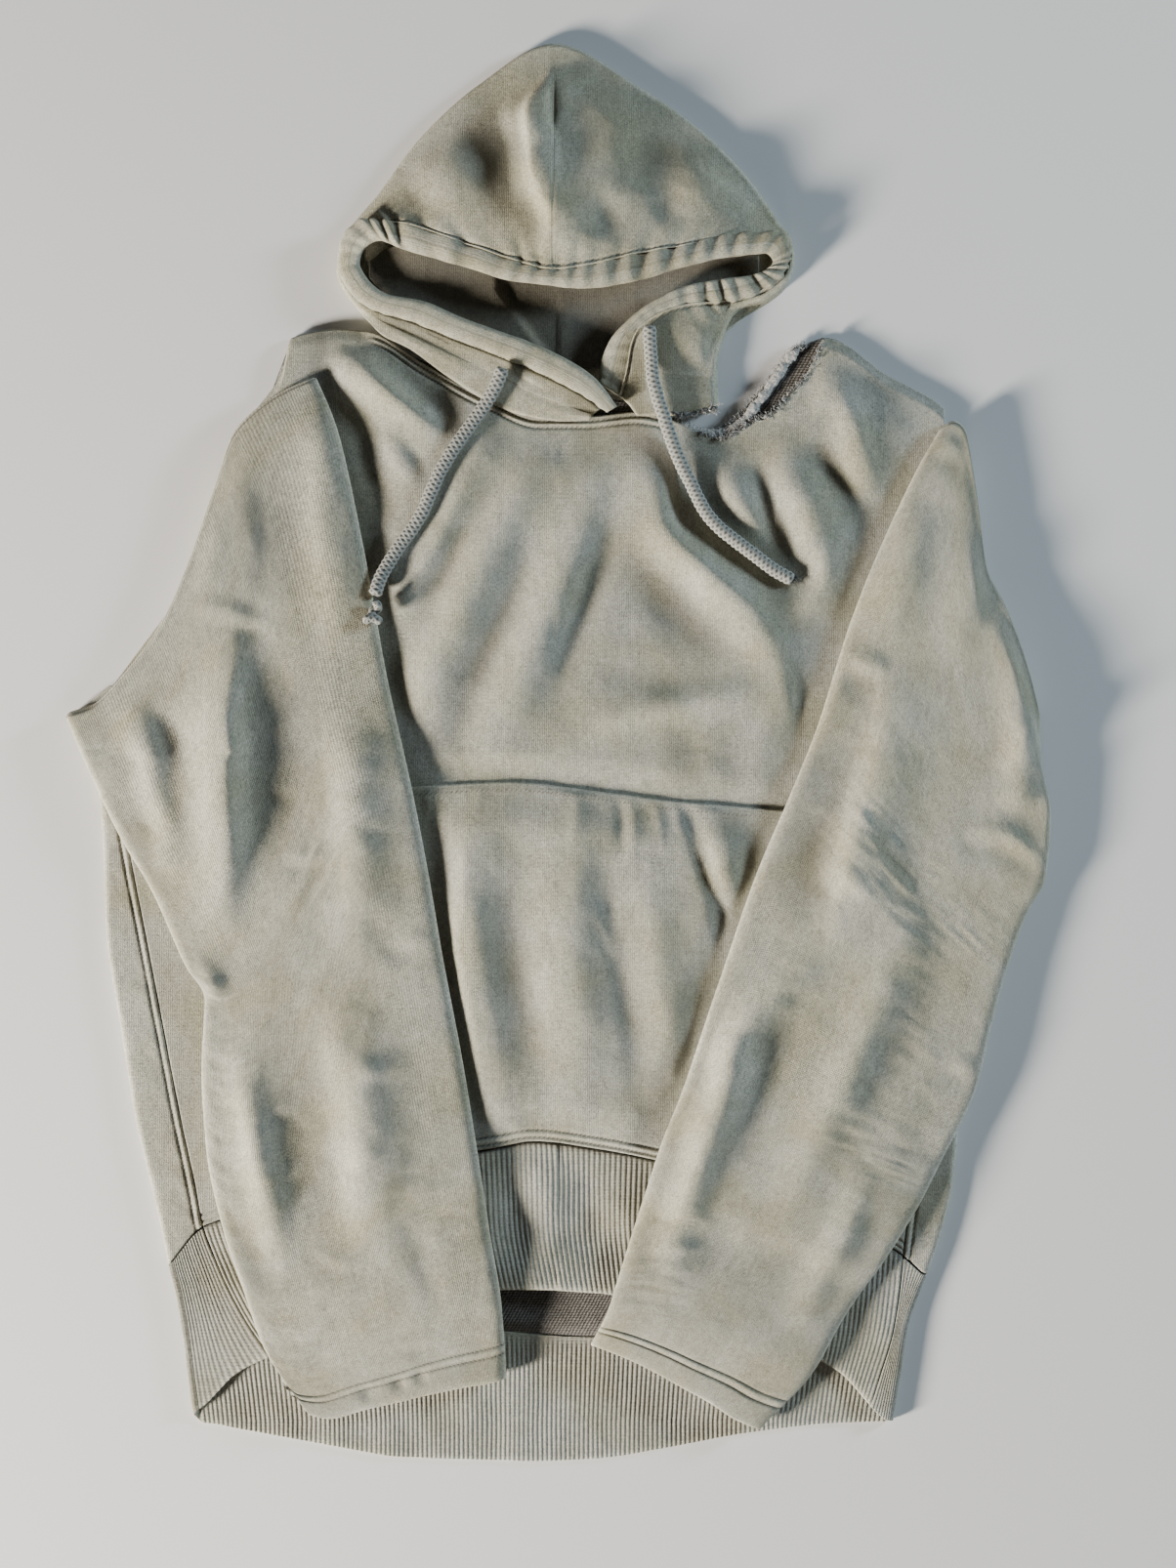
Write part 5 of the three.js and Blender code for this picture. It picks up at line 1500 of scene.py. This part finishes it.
def sleeve_section():
    """Round a sleeve from the middle of its underside: share, or inset from an inner or outer edge."""
    quarter = np.linspace(0, math.pi / 2, 9)
    spots = []
    spots += [(share, 0, 0, -1) for share in np.linspace(0.5, 0, 7)[:-1]]
    spots += [(-1, 0, FOLD_REACH * (1 - math.cos(a)), -math.sin(a)) for a in quarter[:0:-2]]
    spots += [(-1, 0, SLEEVE_EDGE * (1 - math.cos(a)), math.sin(a)) for a in quarter[:-1]]
    spots += [(share, 0, 0, 1) for share in np.linspace(0, 1, 66)]
    spots += [(-1, 1, SLEEVE_EDGE * (1 - math.cos(a)), math.sin(a)) for a in quarter[-2::-1]]
    spots += [(-1, 1, FOLD_REACH * (1 - math.cos(a)), -math.sin(a)) for a in quarter[2::2]]
    spots += [(share, 0, 0, -1) for share in np.linspace(1, 0.5, 7)[1:-1]]
    return np.array(spots).T


def make_sleeve(name, node, sleeve, inner_is_right, materials):
    stations = graded(SLEEVE_LENGTH, CLOTH_STEP, (0, 4.5, 613.5, 620.5, 640))[:, None]
    section = sleeve_section()
    if inner_is_right:
        section = section[:, ::-1]
    share, anchor, inset, level = (part[None, :] for part in section)
    points, u, v, folds = sleeve.points(stations, share, anchor, inset, level)
    place = np.stack([(u - 0.5) * 170 + 400 * (level < 0), v * SLEEVE_LENGTH], axis=2)
    from_cuff = (1 - v) * SLEEVE_LENGTH
    from_arm = v * SLEEVE_LENGTH
    # lighter with rubbing and painted highlight at the cuff's edge and fold, along the sleeve's side edges,
    # at the armhole seam and on fold tops; painted shade in the cuff's stitched grooves, along the armhole
    # seam and in troughs
    masks = {
        "wear": rubbing_and_highlight_along(from_cuff, 1, 2.5) + 0.7 * rubbing_and_highlight_along(from_cuff, 23, 2.2) + 1.3 * bell(level, 0.6)
        + 0.8 * rubbing_and_highlight_along(from_arm, 2.4, 1.4) + ridge_highlight(folds),
        "shade": 0.5 * soft_shade(from_cuff, CUFF_STITCHES) + 0.7 * bell(from_arm - 4.5, 0.9)
        + trough_shade(folds),
        "stitch": soft_shade(from_cuff, CUFF_STITCHES),
    }
    outer, inner = cloth_wall(points, place, FLEECE, ring=True, masks=masks)
    mesh = closed_wall(name, outer, inner, ring=True)
    piece = add_piece(name, mesh, materials["sleeve"], "sleeve_fleece", [node])
    rows = RIGHT_SLEEVE_ROWS if name == "arm_right" else LEFT_SLEEVE_ROWS
    2 * area_between(rows, "inner", "outer")


# Hood

hood_at = {name: along(HOOD_ROWS, name) for name in HOOD_ROWS}
hood_waist_x = column(HOOD_WAIST, "y", "x")
CROWN_SHARE = 14 / (len(HOOD_ROWS["rim"]) - 1)
CROWN_LAP = 0.0024
HOOD_SEAM_ROW = 3.0              # from the casing to the row of stitches in the panels


def hood_line(x_name, y_name, share):
    return np.stack([hood_at[x_name](share), hood_at[y_name](share)], axis=-1)


def even_shares(start, end, spacing, x_name="edge_x", y_name="edge_y", lines=()):
    """Shares along the hood whose places on a line lie evenly apart."""
    fine = np.linspace(start, end, 2000)
    run = run_along(hood_line(x_name, y_name, fine)[None], 1)[0]
    wanted = graded(run[-1], spacing, [lerp(0, run[-1], line) for line in lines]) * run[-1]
    return np.interp(wanted, run, fine)


def pinches(share):
    """Where the cord gathers the hood's edge: 1 in a pucker, 0 between, at uneven spaces."""
    steps = share * GATHERS * 1.7 + 0.34 * noise(share * 1000, 0 * share, 34, 71)
    sharp = (0.5 + 0.5 * np.cos(2 * math.pi * steps)) ** 1.3
    return sharp * (0.75 + 0.45 * noise(share * 1000, 0 * share, 23, 72))


def crown_part(share):
    return smooth_step(0.31, 0.39, share) * smooth_step(0.86, 0.78, share)


def make_casing(materials):
    """The hood's turned edge, drawn up over its cord in uneven puckers."""
    share = even_shares(0, 1, 1.5, "outer_x", "outer_y", (0, 1))[:, None]
    angle = (np.linspace(0, 2 * math.pi, 37)[:-1] + math.pi / 2)[None, :]
    rim = hood_at["rim"](share)
    inner = np.stack([hood_at["inner_x"](share), hood_at["inner_y"](share), rim], axis=2)
    outer = np.stack([hood_at["outer_x"](share), hood_at["outer_y"](share), rim - 0.8], axis=2)
    middle = (inner + outer) / 2
    across = inner - outer
    reach = np.linalg.norm(across, axis=2, keepdims=True)
    across = across / reach
    pinch = pinches(share)
    crown = crown_part(share)
    amount = lerp(0.22, 1, crown)
    run = run_along(middle, 0)
    dents = 0.9 * noise(run, 0 * run, 19, 73) + 0.5 * noise(run, 0 * run, 8, 74)
    outward = np.cos(angle)
    half_width = reach[..., 0] / 2 - 3.4 * pinch * amount * smooth_step(0.5, -1, outward) + 0.4 * dents
    ends = smooth_step(0, 0.06, share) * smooth_step(0, 0.1, 1 - share)
    half_height = CASING_HEIGHT / 2 * lerp(0.72, 1, ends) - 2.5 * pinch * amount
    half_height = half_height + 0.3 * dents
    plump = np.sign(np.sin(angle)) * np.abs(np.sin(angle)) ** 0.85
    points = middle + across * (half_width * outward)[..., None]
    points[..., 2] += half_height * plump
    around = angle - math.pi / 2
    stitched = stitch_groove((around - 2.1) * 6) * smooth_step(-0.2, 0.3, np.sin(angle))
    points[..., 2] += stitched
    place = np.stack([around * 6 + 0 * share, run + 0 * angle], axis=2)
    # lighter with rubbing and painted highlight on the roll's two upper shoulders; painted shade in the
    # puckers and along a stitch line
    masks = {
        "wear": 0.9 * bell(around - 5.6, 0.5) + 0.5 * bell(around - 0.9, 0.5) + 0 * share,
        "shade": 0.55 * pinch * amount + 0.7 * bell(around - 2.1, 0.12),
    }
    mesh = tube("hood_edge", points, place, masks)
    piece = add_piece("hood_edge", mesh, materials["hood"], "hood_fleece", ["hood_casing"])
    area = area_between(HOOD_ROWS, "inner", "outer")


HOOD_CREASES = [
    Crease(9.0, 3.4, 17, [(-2, 446), (-8, 430), (-20, 415), (-20, 396), (-17, 378), (-14, 354)]),
    Crease(9.0, 6, 20, [(-20, 384), (-10, 360), (-3, 340), (-10, 316)]),
    Crease(-5.5, 17, 6, [(-30, 436), (-42, 414), (-36, 392), (-32, 368), (-28, 342)]),
    Crease(-4.5, 2.6, 3.4, [(-2, 436), (-4, 422), (-3, 408), (0, 396), (-4, 389)]),
    Crease(4.0, 14, 14, [(-84, 392), (-70, 366), (-64, 340)]),
    Crease(-3.4, 11, 12, [(-104, 366), (-90, 352), (-84, 336)]),
    Crease(3.6, 13, 15, [(30, 430), (34, 400), (30, 368), (26, 338)]),
    Crease(-3.4, 9, 12, [(34, 356), (30, 340), (26, 326)]),
    Crease(-3.0, 14, 15, [(62, 404), (64, 380), (58, 356)]),
    Crease(3.4, 13, 14, [(92, 384), (90, 362), (84, 342)]),
    Crease(-2.4, 8, 9, [(78, 362), (70, 350), (62, 344)]),
]
HOOD_FRONT_CREASES = [
    Crease(2.0, 6, 8, [(-116, 276), (-98, 268), (-80, 256)]),
    Crease(-1.6, 6, 5, [(-104, 282), (-84, 268), (-64, 258)]),
    Crease(-2.0, 5, 6, [(-44, 252), (-34, 240), (-26, 230)]),
    Crease(2.2, 5, 7, [(-28, 246), (-20, 236), (-14, 226)]),
    Crease(2.6, 7, 7, [(96, 276), (94, 258), (90, 240)]),
    Crease(-2.0, 7, 6, [(84, 282), (80, 262), (78, 246)]),
    Crease(1.8, 5, 6, [(66, 262), (70, 248), (72, 234)]),
]


def hood_points(step, share):
    """From the casing (0) over the outline's fold (1 to 2) to the neck edge (3)."""
    at = {name: read(share) for name, read in hood_at.items()}
    inner = np.stack([at["inner_x"], at["inner_y"]], axis=-1)
    start = np.stack([at["outer_x"], at["outer_y"]], axis=-1)
    edge = np.stack([at["edge_x"], at["edge_y"]], axis=-1)
    end = np.stack([at["end_x"], at["end_y"]], axis=-1)
    away = start - inner
    away = away / np.linalg.norm(away, axis=-1, keepdims=True)
    gap = np.linalg.norm(start - edge, axis=-1)
    tucked = smooth_step(18, 8, gap) * smooth_step(0.85, 0.75, share)
    start = start - away * lerp(2.4, 4, tucked)[..., None]
    start_z = at["rim"] + lerp(1.5, -CASING_HEIGHT / 2 - 0.9, tucked)
    edge_top = np.minimum(at["edge_top"], start_z - 0.4)
    to_start = start - edge
    to_end = end - edge
    start_run = np.linalg.norm(to_start, axis=-1)
    end_run = np.linalg.norm(to_end, axis=-1)
    reach_top = np.minimum(FOLD_REACH, start_run * 0.5)
    reach_under = np.minimum(FOLD_REACH, end_run * 0.5)
    top = edge + to_start * (reach_top / start_run)[..., None]
    under = edge + to_end * (reach_under / end_run)[..., None]
    upper = lerp(start, top, step[..., None])
    upper_z = lerp(start_z, edge_top, step)
    angle = (step - 1) * math.pi
    weight = (1 - np.cos(angle)) / 2
    side = np.where((weight < 0.5)[..., None], top, under)
    fold = lerp(side, edge, np.sin(angle)[..., None])
    fold_z = lerp(edge_top, at["edge_under"], weight)
    t = step - 2
    lower = lerp(under, end, t[..., None])
    middle = lerp(under, end, 0.5)
    folded = smooth_step(4, 1, at["edge_under"])
    pulled = folded * 4 * t * (1 - t) * np.maximum(0, middle[..., 0] - hood_waist_x(middle[..., 1]))
    lower = lower - np.stack([pulled, 0 * pulled], axis=-1)
    lower_z = lerp(at["edge_under"], at["end_top"], t)
    flat = np.where((step <= 1)[..., None], upper, np.where((step < 2)[..., None], fold, lower))
    z = np.where(step <= 1, upper_z, np.where(step < 2, fold_z, lower_z))
    return np.concatenate([flat, z[..., None]], axis=-1)


def make_hood_panel(name, node, start, end, seam_ends, materials):
    share = even_shares(start, end, 2.3, lines=seam_ends)
    steps = np.concatenate([
        graded(110, 2.0, (0, HOOD_SEAM_ROW)),
        np.linspace(1, 2, 12)[1:],
        np.linspace(2, 3, 9)[1:],
    ])
    step, share = np.meshgrid(steps, share)
    points = hood_points(step, share)
    x, y = points[..., 0], points[..., 1]
    top = np.clip(step, 0, 1)
    bulge = np.sin(math.pi * top)
    run = run_along(points, 1)
    on_top = smooth_step(1.05, 0.75, step)
    length = np.max(np.where(step <= 1, run, 0), axis=1, keepdims=True)
    deep = smooth_step(16, 70, length)
    folds = crease_height(HOOD_CREASES, x, y, 2.2, 9) * deep * smooth_step(0, 14, run)
    front = crease_height(HOOD_FRONT_CREASES, x, y, 1.0, 11) * smooth_step(60, 35, length) * bulge
    crown = crown_part(share)
    tugs = -2.4 * pinches(share) * crown * bell(run - 2, 12)
    crown_seam = -1.3 * bell(x + 2.5, 1.3) * smooth_step(394, 404, y) * on_top
    belly = 4.5 * bulge ** 0.8 * deep
    seam = stitch_groove(run - HOOD_SEAM_ROW) + 0.5 * bell(run - 1.2, 1.2)
    from_crown = 1700 * np.abs(share - (end if name == "hood_right" else start))
    dip = -0.9 * smooth_step(7, 0, from_crown) * on_top
    z = dip + folds + front + tugs + crown_seam + belly + seam + lumps(x, y, 81)
    points[..., 2] += z * on_top
    if name == "hood_right":
        from_throat = smooth_step(0, 0.03, share)
        points[..., 2] += 0.5 * (from_throat - 1) * on_top
    # lighter with rubbing and painted highlight along the casing seam, at the outline's fold and on fold
    # tops; painted shade in the stitched groove, under the puckers, in troughs and along the crown seam
    masks = {
        "wear": 0.6 * rubbing_and_highlight_along(run, 1.2, 1.2) + 0.6 * bell(step - 1.2, 0.25) + ridge_highlight(folds),
        "stitch": soft_shade(run, (HOOD_SEAM_ROW,)) * on_top,
        "shade": 0.5 * soft_shade(run, (HOOD_SEAM_ROW,)) * on_top
        + 0.3 * pinches(share) * crown * bell(run, 5)
        + trough_shade(folds) + 0.6 * bell(x + 2.5, 0.8) * smooth_step(394, 404, y) * on_top,
    }
    place = np.stack([x, -y + 900 * (step > 1.5)], axis=2)
    outer, inner = cloth_wall(points, place, HOOD_CLOTH, masks=masks, floor=FLOOR_CLEARANCE)
    outer.points[..., 2] = np.maximum(outer.points[..., 2], 0)
    mesh = closed_wall(name, outer, inner)
    piece = add_piece(name, mesh, materials["hood"], "hood_fleece", [node])
    part = (0, 15) if name == "hood_right" else (14, None)
    area = area_between(HOOD_ROWS, "outer", "edge", *part) + area_between(HOOD_ROWS, "edge", "end", *part)


def make_lining(materials):
    """Smooth cloth inside the hood; its part at the wearer's right lies higher, with a fold."""
    upper_y = column(LINING_ROWS, "x", "upper")
    lower_y = column(LINING_ROWS, "x", "lower")
    u, v = np.meshgrid(graded(252, 2.0, (0, 252)), graded(75, 1.8, (0, 75)))
    x = lerp(LINING_ROWS["x"][0], LINING_ROWS["x"][-1], u)
    y = lerp(upper_y(x), lower_y(x), v)
    fold_x = lerp(-33, 6, clamp01((299 - y) / 53))
    raised = 3.4 * smooth_step(0, -9, x - fold_x) * smooth_step(-125, -90, x)
    ripple = 1.1 * noise(x, y, 24, 91) + 0.5 * noise(x, y, 12, 92)
    z = HOOD_CLOTH + SEAM_GAP + LINING_CLOTH + raised + np.maximum(0, ripple)
    points = np.stack([x, y, z], axis=2)
    # lighter along the raised part's fold: painted highlight
    masks = {"wear": bell(x - fold_x + 6, 3), "shade": 0 * x}
    mesh = closed_wall("hood_inside", *cloth_wall(points, flat_place(x, y), LINING_CLOTH, masks=masks))
    piece = add_piece("hood_inside", mesh, materials["lining"], "lining", ["hood_lining"])
    ends = (straight(LINING_ROWS["x"][0]), straight(LINING_ROWS["x"][-1]))
    area = area_within(*ends, lower_y, upper_y)


# Drawcord


def frames_along(path):
    """Directions across a path: level, and square to both."""
    ahead = np.gradient(path, axis=0)
    ahead = ahead / np.linalg.norm(ahead, axis=1, keepdims=True)
    level = np.cross(ahead, np.array([0, 0, 1.0]))
    level = level / np.linalg.norm(level, axis=1, keepdims=True)
    return ahead, level, np.cross(level, ahead)


def cord_path(route, spacing):
    """Smooth centreline through a route's points, evenly spaced."""
    rough = smooth_path(np.stack([route["x"], route["y"], route["z"]], axis=1), 12)
    run = run_along(rough[None], 1)[0]
    wanted = np.linspace(0, run[-1], round(run[-1] / spacing) + 1)
    return np.stack([np.interp(wanted, run, rough[:, axis]) for axis in range(3)], axis=1), wanted


CORD_WIDE = 1.04                 # a soft cord lies a little flat
CORD_HIGH = 0.86
BRAID_PITCH = 3.4                # between two chevrons of the same strand
BRAID_STRANDS = 4                # strands that wind each way


def braid_height(angle, run):
    """Height of a braid's strands, 1 on top, round a cord and along it."""
    winding = angle / (2 * math.pi) * BRAID_STRANDS
    turns = run / BRAID_PITCH
    forward = 0.5 + 0.5 * np.cos(2 * math.pi * (winding + turns))
    backward = 0.5 + 0.5 * np.cos(2 * math.pi * (winding - turns))
    return np.maximum(forward, backward) ** 1.5


def round_section(path, radius, angle, wide=1.0, high=1.0):
    """Rings of points round a centreline, wider or flatter than a circle where asked."""
    _, level, up = frames_along(path)
    rings = path[:, None] + level[:, None] * (wide * radius * np.cos(angle))[..., None]
    return rings + up[:, None] * (high * radius * np.sin(angle))[..., None]


def make_cord(name, node, route, materials):
    path, run = cord_path(route, 0.45)
    angle = np.linspace(0, 2 * math.pi, 33)[:-1][None, :]
    braid = braid_height(angle, run[:, None])
    taper = smooth_step(0, 2, run)[:, None] * smooth_step(0, 1.6, run[-1] - run)[:, None]
    radius = CORD_DIAMETER / 2 * (0.97 + 0.16 * (braid - 0.4)) * lerp(0.72, 1, taper)
    radius = radius + 0.12 * noise(run[:, None] + 0 * angle, angle * 4 + 0 * run[:, None], 3, 95)
    rings = round_section(path, radius, angle, CORD_WIDE, CORD_HIGH)
    place = np.stack([angle * CORD_DIAMETER / 2 + 0 * run[:, None], run[:, None] + 0 * angle], axis=2)
    masks = {"strand": braid}
    piece = add_piece(name, tube(name, rings, place, masks), materials["cord"], "cord", [node])
    return path


KNOT = {"x": -118.2, "y": 89.5, "z": 19.4, "length": 7.5, "strand": 2.55}


def make_knot(materials):
    """Overhand knot at the end of the wearer's right cord: two lobes with the cord between."""
    t = np.linspace(0, 2 * math.pi * 1.42, 210)
    centre = np.array([KNOT["x"], KNOT["y"], KNOT["z"]])
    loop = np.stack([
        3.0 * np.sin(t) + 1.1 * np.sin(2 * t),
        KNOT["length"] * 0.66 * np.cos(t * 0.5) + 1.2 * np.cos(2 * t),
        2.0 * np.cos(t + 0.5),
    ], axis=1)
    path = centre + loop
    angle = np.linspace(0, 2 * math.pi, 25)[:-1][None, :]
    run = run_along(path[None], 1)[0][:, None]
    braid = braid_height(angle, run)
    taper = smooth_step(0, 3, run) * smooth_step(0, 3, run[-1] - run)
    radius = KNOT["strand"] * (0.94 + 0.14 * braid) * lerp(0.5, 1, taper)
    rings = round_section(path, radius, angle)
    place = np.stack([angle * 2.6 + 0 * run, run + 0 * angle], axis=2)
    mesh = tube("overhand_knot", rings, place, {"strand": braid})
    return add_piece("overhand_knot", mesh, materials["cord"], "cord", ["cord_knot"])


# Frayed edges and ends


def fibres(name, roots, directions, lengths, radius, seed, material, slot, curl=0.5):
    """Thin curved threads, joined in one mesh: one from each root, three-sided, ending in a point."""
    rng = np.random.default_rng(seed)
    count = len(roots)
    segments = 6
    ahead = directions / np.linalg.norm(directions, axis=1, keepdims=True)
    aside = np.cross(ahead, np.array([0.05, 0.03, 1.0]))
    aside = aside / np.linalg.norm(aside, axis=1, keepdims=True)
    upward = np.cross(aside, ahead)
    t = np.linspace(0, 1, segments)[None, :, None]
    bend = rng.uniform(-curl, curl, (count, 1, 1))
    wave = rng.uniform(-curl, curl, (count, 1, 1)) * 0.5
    lift = rng.uniform(-0.3, 0.35, (count, 1, 1))
    size = lengths[:, None, None]
    sideways = bend * t ** 2 + wave * np.sin(t * 6)
    path = ahead[:, None] * t + aside[:, None] * sideways + upward[:, None] * lift * t ** 2
    path = roots[:, None] + size * path
    path[..., 2] = np.maximum(path[..., 2], radius)
    thick = radius * (1 - 0.75 * t)
    rings = []
    for k in range(3):
        turn = k * 2 * math.pi / 3
        rings.append(path + thick * (aside[:, None] * math.cos(turn) + upward[:, None] * math.sin(turn)))
    points = np.stack(rings, axis=2).reshape(-1, 3)
    ids = np.arange(count * segments * 3).reshape(count, segments, 3)
    sides = []
    for k in range(3):
        n = (k + 1) % 3
        face = [ids[:, :-1, k], ids[:, :-1, n], ids[:, 1:, n], ids[:, 1:, k]]
        sides.append(np.stack([corner.ravel() for corner in face], axis=1))
    ends = np.concatenate([ids[:, 0, ::-1], ids[:, -1]])
    place = np.stack([points[:, 0], points[:, 1]], axis=1)
    mesh = make_mesh(name, points, np.concatenate(sides), ends, place, {})
    return add_piece(name, mesh, material, slot, [])


def make_cord_fray(name, path, seed, count, length, materials):
    rng = np.random.default_rng(seed)
    end = path[-1]
    ahead = path[-1] - path[-4]
    ahead = ahead / np.linalg.norm(ahead)
    spread = rng.normal(0, 1.3, (count, 3))
    roots = end + spread * [1, 1, 0.7] - ahead * rng.uniform(0, 2, (count, 1))
    directions = ahead + rng.normal(0, 0.45, (count, 3)) * [1, 1, 0.4]
    lengths = rng.uniform(0.4, 1, count) * length
    return fibres(name, roots, directions, lengths, 0.28, seed, materials["cord"], "cord", 0.6)


# Raw edges of the torn shoulder: places along each, height, and which side its threads point to
TORN_EDGES = {
    "back_fringe": ([(74, 216), (89, 209), (106, 210), (116, 217), (125, 227), (137, 242), (151, 259),
                     (160, 264)],
                    3.4, 1, 340),
    "front_fringe": ([(92, 207), (106, 203), (116, 208), (125, 214), (137, 219), (151, 233), (162, 246),
                      (171, 264)],
                     7.4, 1, 220),
    "hood_fringe": ([(73, 219), (80, 217), (88, 218), (96, 220), (103, 222)], 9.6, -1, 150),
}


def make_curled_edge(materials):
    """The back's raw edge, curled into a loose roll of loops."""
    points = [(70, 215), (80, 211), (89, 207.5), (98, 206), (106, 207), (116, 211), (126, 222), (138, 238),
              (150, 255), (157, 262)]
    path = smooth_path(points, 22)
    height = 4.6 + 0.9 * noise(path[:, 0], path[:, 1], 9, 401)
    path = np.column_stack([path, height])
    angle = np.linspace(0, 2 * math.pi, 21)[:-1][None, :]
    run = run_along(path[None], 1)[0][:, None]
    taper = smooth_step(0, 9, run) * smooth_step(0, 9, run[-1] - run)
    loops = 0.65 * noise(run + 0 * angle, angle * 3 + 0 * run, 1.5, 402) + 0.5 * noise(run, 0 * run, 5, 403)
    radius = (2.3 + loops) * lerp(0.3, 1, taper)
    rings = round_section(path, radius, angle, 1.25, 0.8)
    place = np.stack([angle * 2.6 + 0 * run, run + 0 * angle], axis=2)
    add_piece("curled_edge", tube("curled_edge", rings, place), materials["fray"], "lining", [])


def make_torn_edges(materials):
    """Loose loops and short threads along the raw edges."""
    for number, (name, (points, height, side, count)) in enumerate(TORN_EDGES.items()):
        rng = np.random.default_rng(300 + number)
        path = smooth_path(points, 14)
        ahead = np.gradient(path, axis=0)
        ahead = ahead / np.linalg.norm(ahead, axis=1, keepdims=True)
        spot = rng.integers(0, len(path), count)
        aside = np.stack([-ahead[spot, 1], ahead[spot, 0]], axis=1) * side
        roots = path[spot] - aside * rng.uniform(-0.4, 2.4, (count, 1))
        roots = np.column_stack([roots, height + rng.normal(0, 0.5, count)])
        directions = np.column_stack([aside + rng.normal(0, 0.75, (count, 2)), rng.normal(0.15, 0.4, count)])
        lengths = rng.uniform(1.4, 4.6, count)
        fibres(name, roots, directions, lengths, 0.42, 310 + number, materials["fray"], "lining", 0.9)


def make_everything():
    fleece = fleece_finish("body_fleece", linear(146, 144, 130), linear(181, 178, 165), linear(146, 141, 114))
    sleeve = fleece_finish("arm_fleece", linear(146, 143, 127), linear(181, 177, 162), linear(147, 141, 113))
    hood = fleece_finish("hood_fleece", linear(145, 142, 123), linear(180, 176, 158), linear(145, 138, 109))
    # darker than the face: cloth less faded inside the hood, and painted shade of the hood's hollow
    lining = fleece_finish(
        "lining_jersey_shaded", linear(104, 99, 87), linear(126, 122, 110), linear(106, 99, 82), 0.8)
    materials = {
        "fleece": fleece,
        "sleeve": sleeve,
        "hood": hood,
        "lining": lining,
        "terry": terry_finish(),
        "fray": fray_finish(),
        "rib": rib_finish(),
        "cord": cord_finish(),
    }
    make_back(materials)
    make_front(materials)
    make_side("side_right", "side_panel_right", right_fold_x, 0.0, -1, 51, materials)
    make_side("side_left", "side_panel_left", left_fold_x, 1.0, 1, 56, materials)
    make_pocket(materials)
    make_back_rib(materials)
    make_front_rib(materials)
    right = Sleeve(RIGHT_SLEEVE_ROWS, RIGHT_SLEEVE_ENDS, RIGHT_SLEEVE_CREASES, 13)
    left = Sleeve(LEFT_SLEEVE_ROWS, LEFT_SLEEVE_ENDS, LEFT_SLEEVE_CREASES, 17)
    make_sleeve("arm_right", "sleeve_right", right, True, materials)
    make_sleeve("arm_left", "sleeve_left", left, False, materials)
    make_casing(materials)
    crown = (CROWN_SHARE + CROWN_LAP, CROWN_SHARE - CROWN_LAP)
    make_hood_panel("hood_right", "hood_panel_right", 0.01, crown[0], (0, 1), materials)
    make_hood_panel("hood_left", "hood_panel_left", crown[1], 1, (0, 1), materials)
    make_lining(materials)
    knot = make_knot(materials)
    make_cord(
        "cord_end_right", "drawcord_right", RIGHT_CORD_ROUTE, materials)
    left_path = make_cord(
        "cord_end_left", "drawcord_left", LEFT_CORD_ROUTE, materials)
    make_cord_fray("cord_fray", left_path, 21, 60, 7.0, materials)
    make_curled_edge(materials)
    make_torn_edges(materials)


add_surroundings()
add_camera()
make_everything()
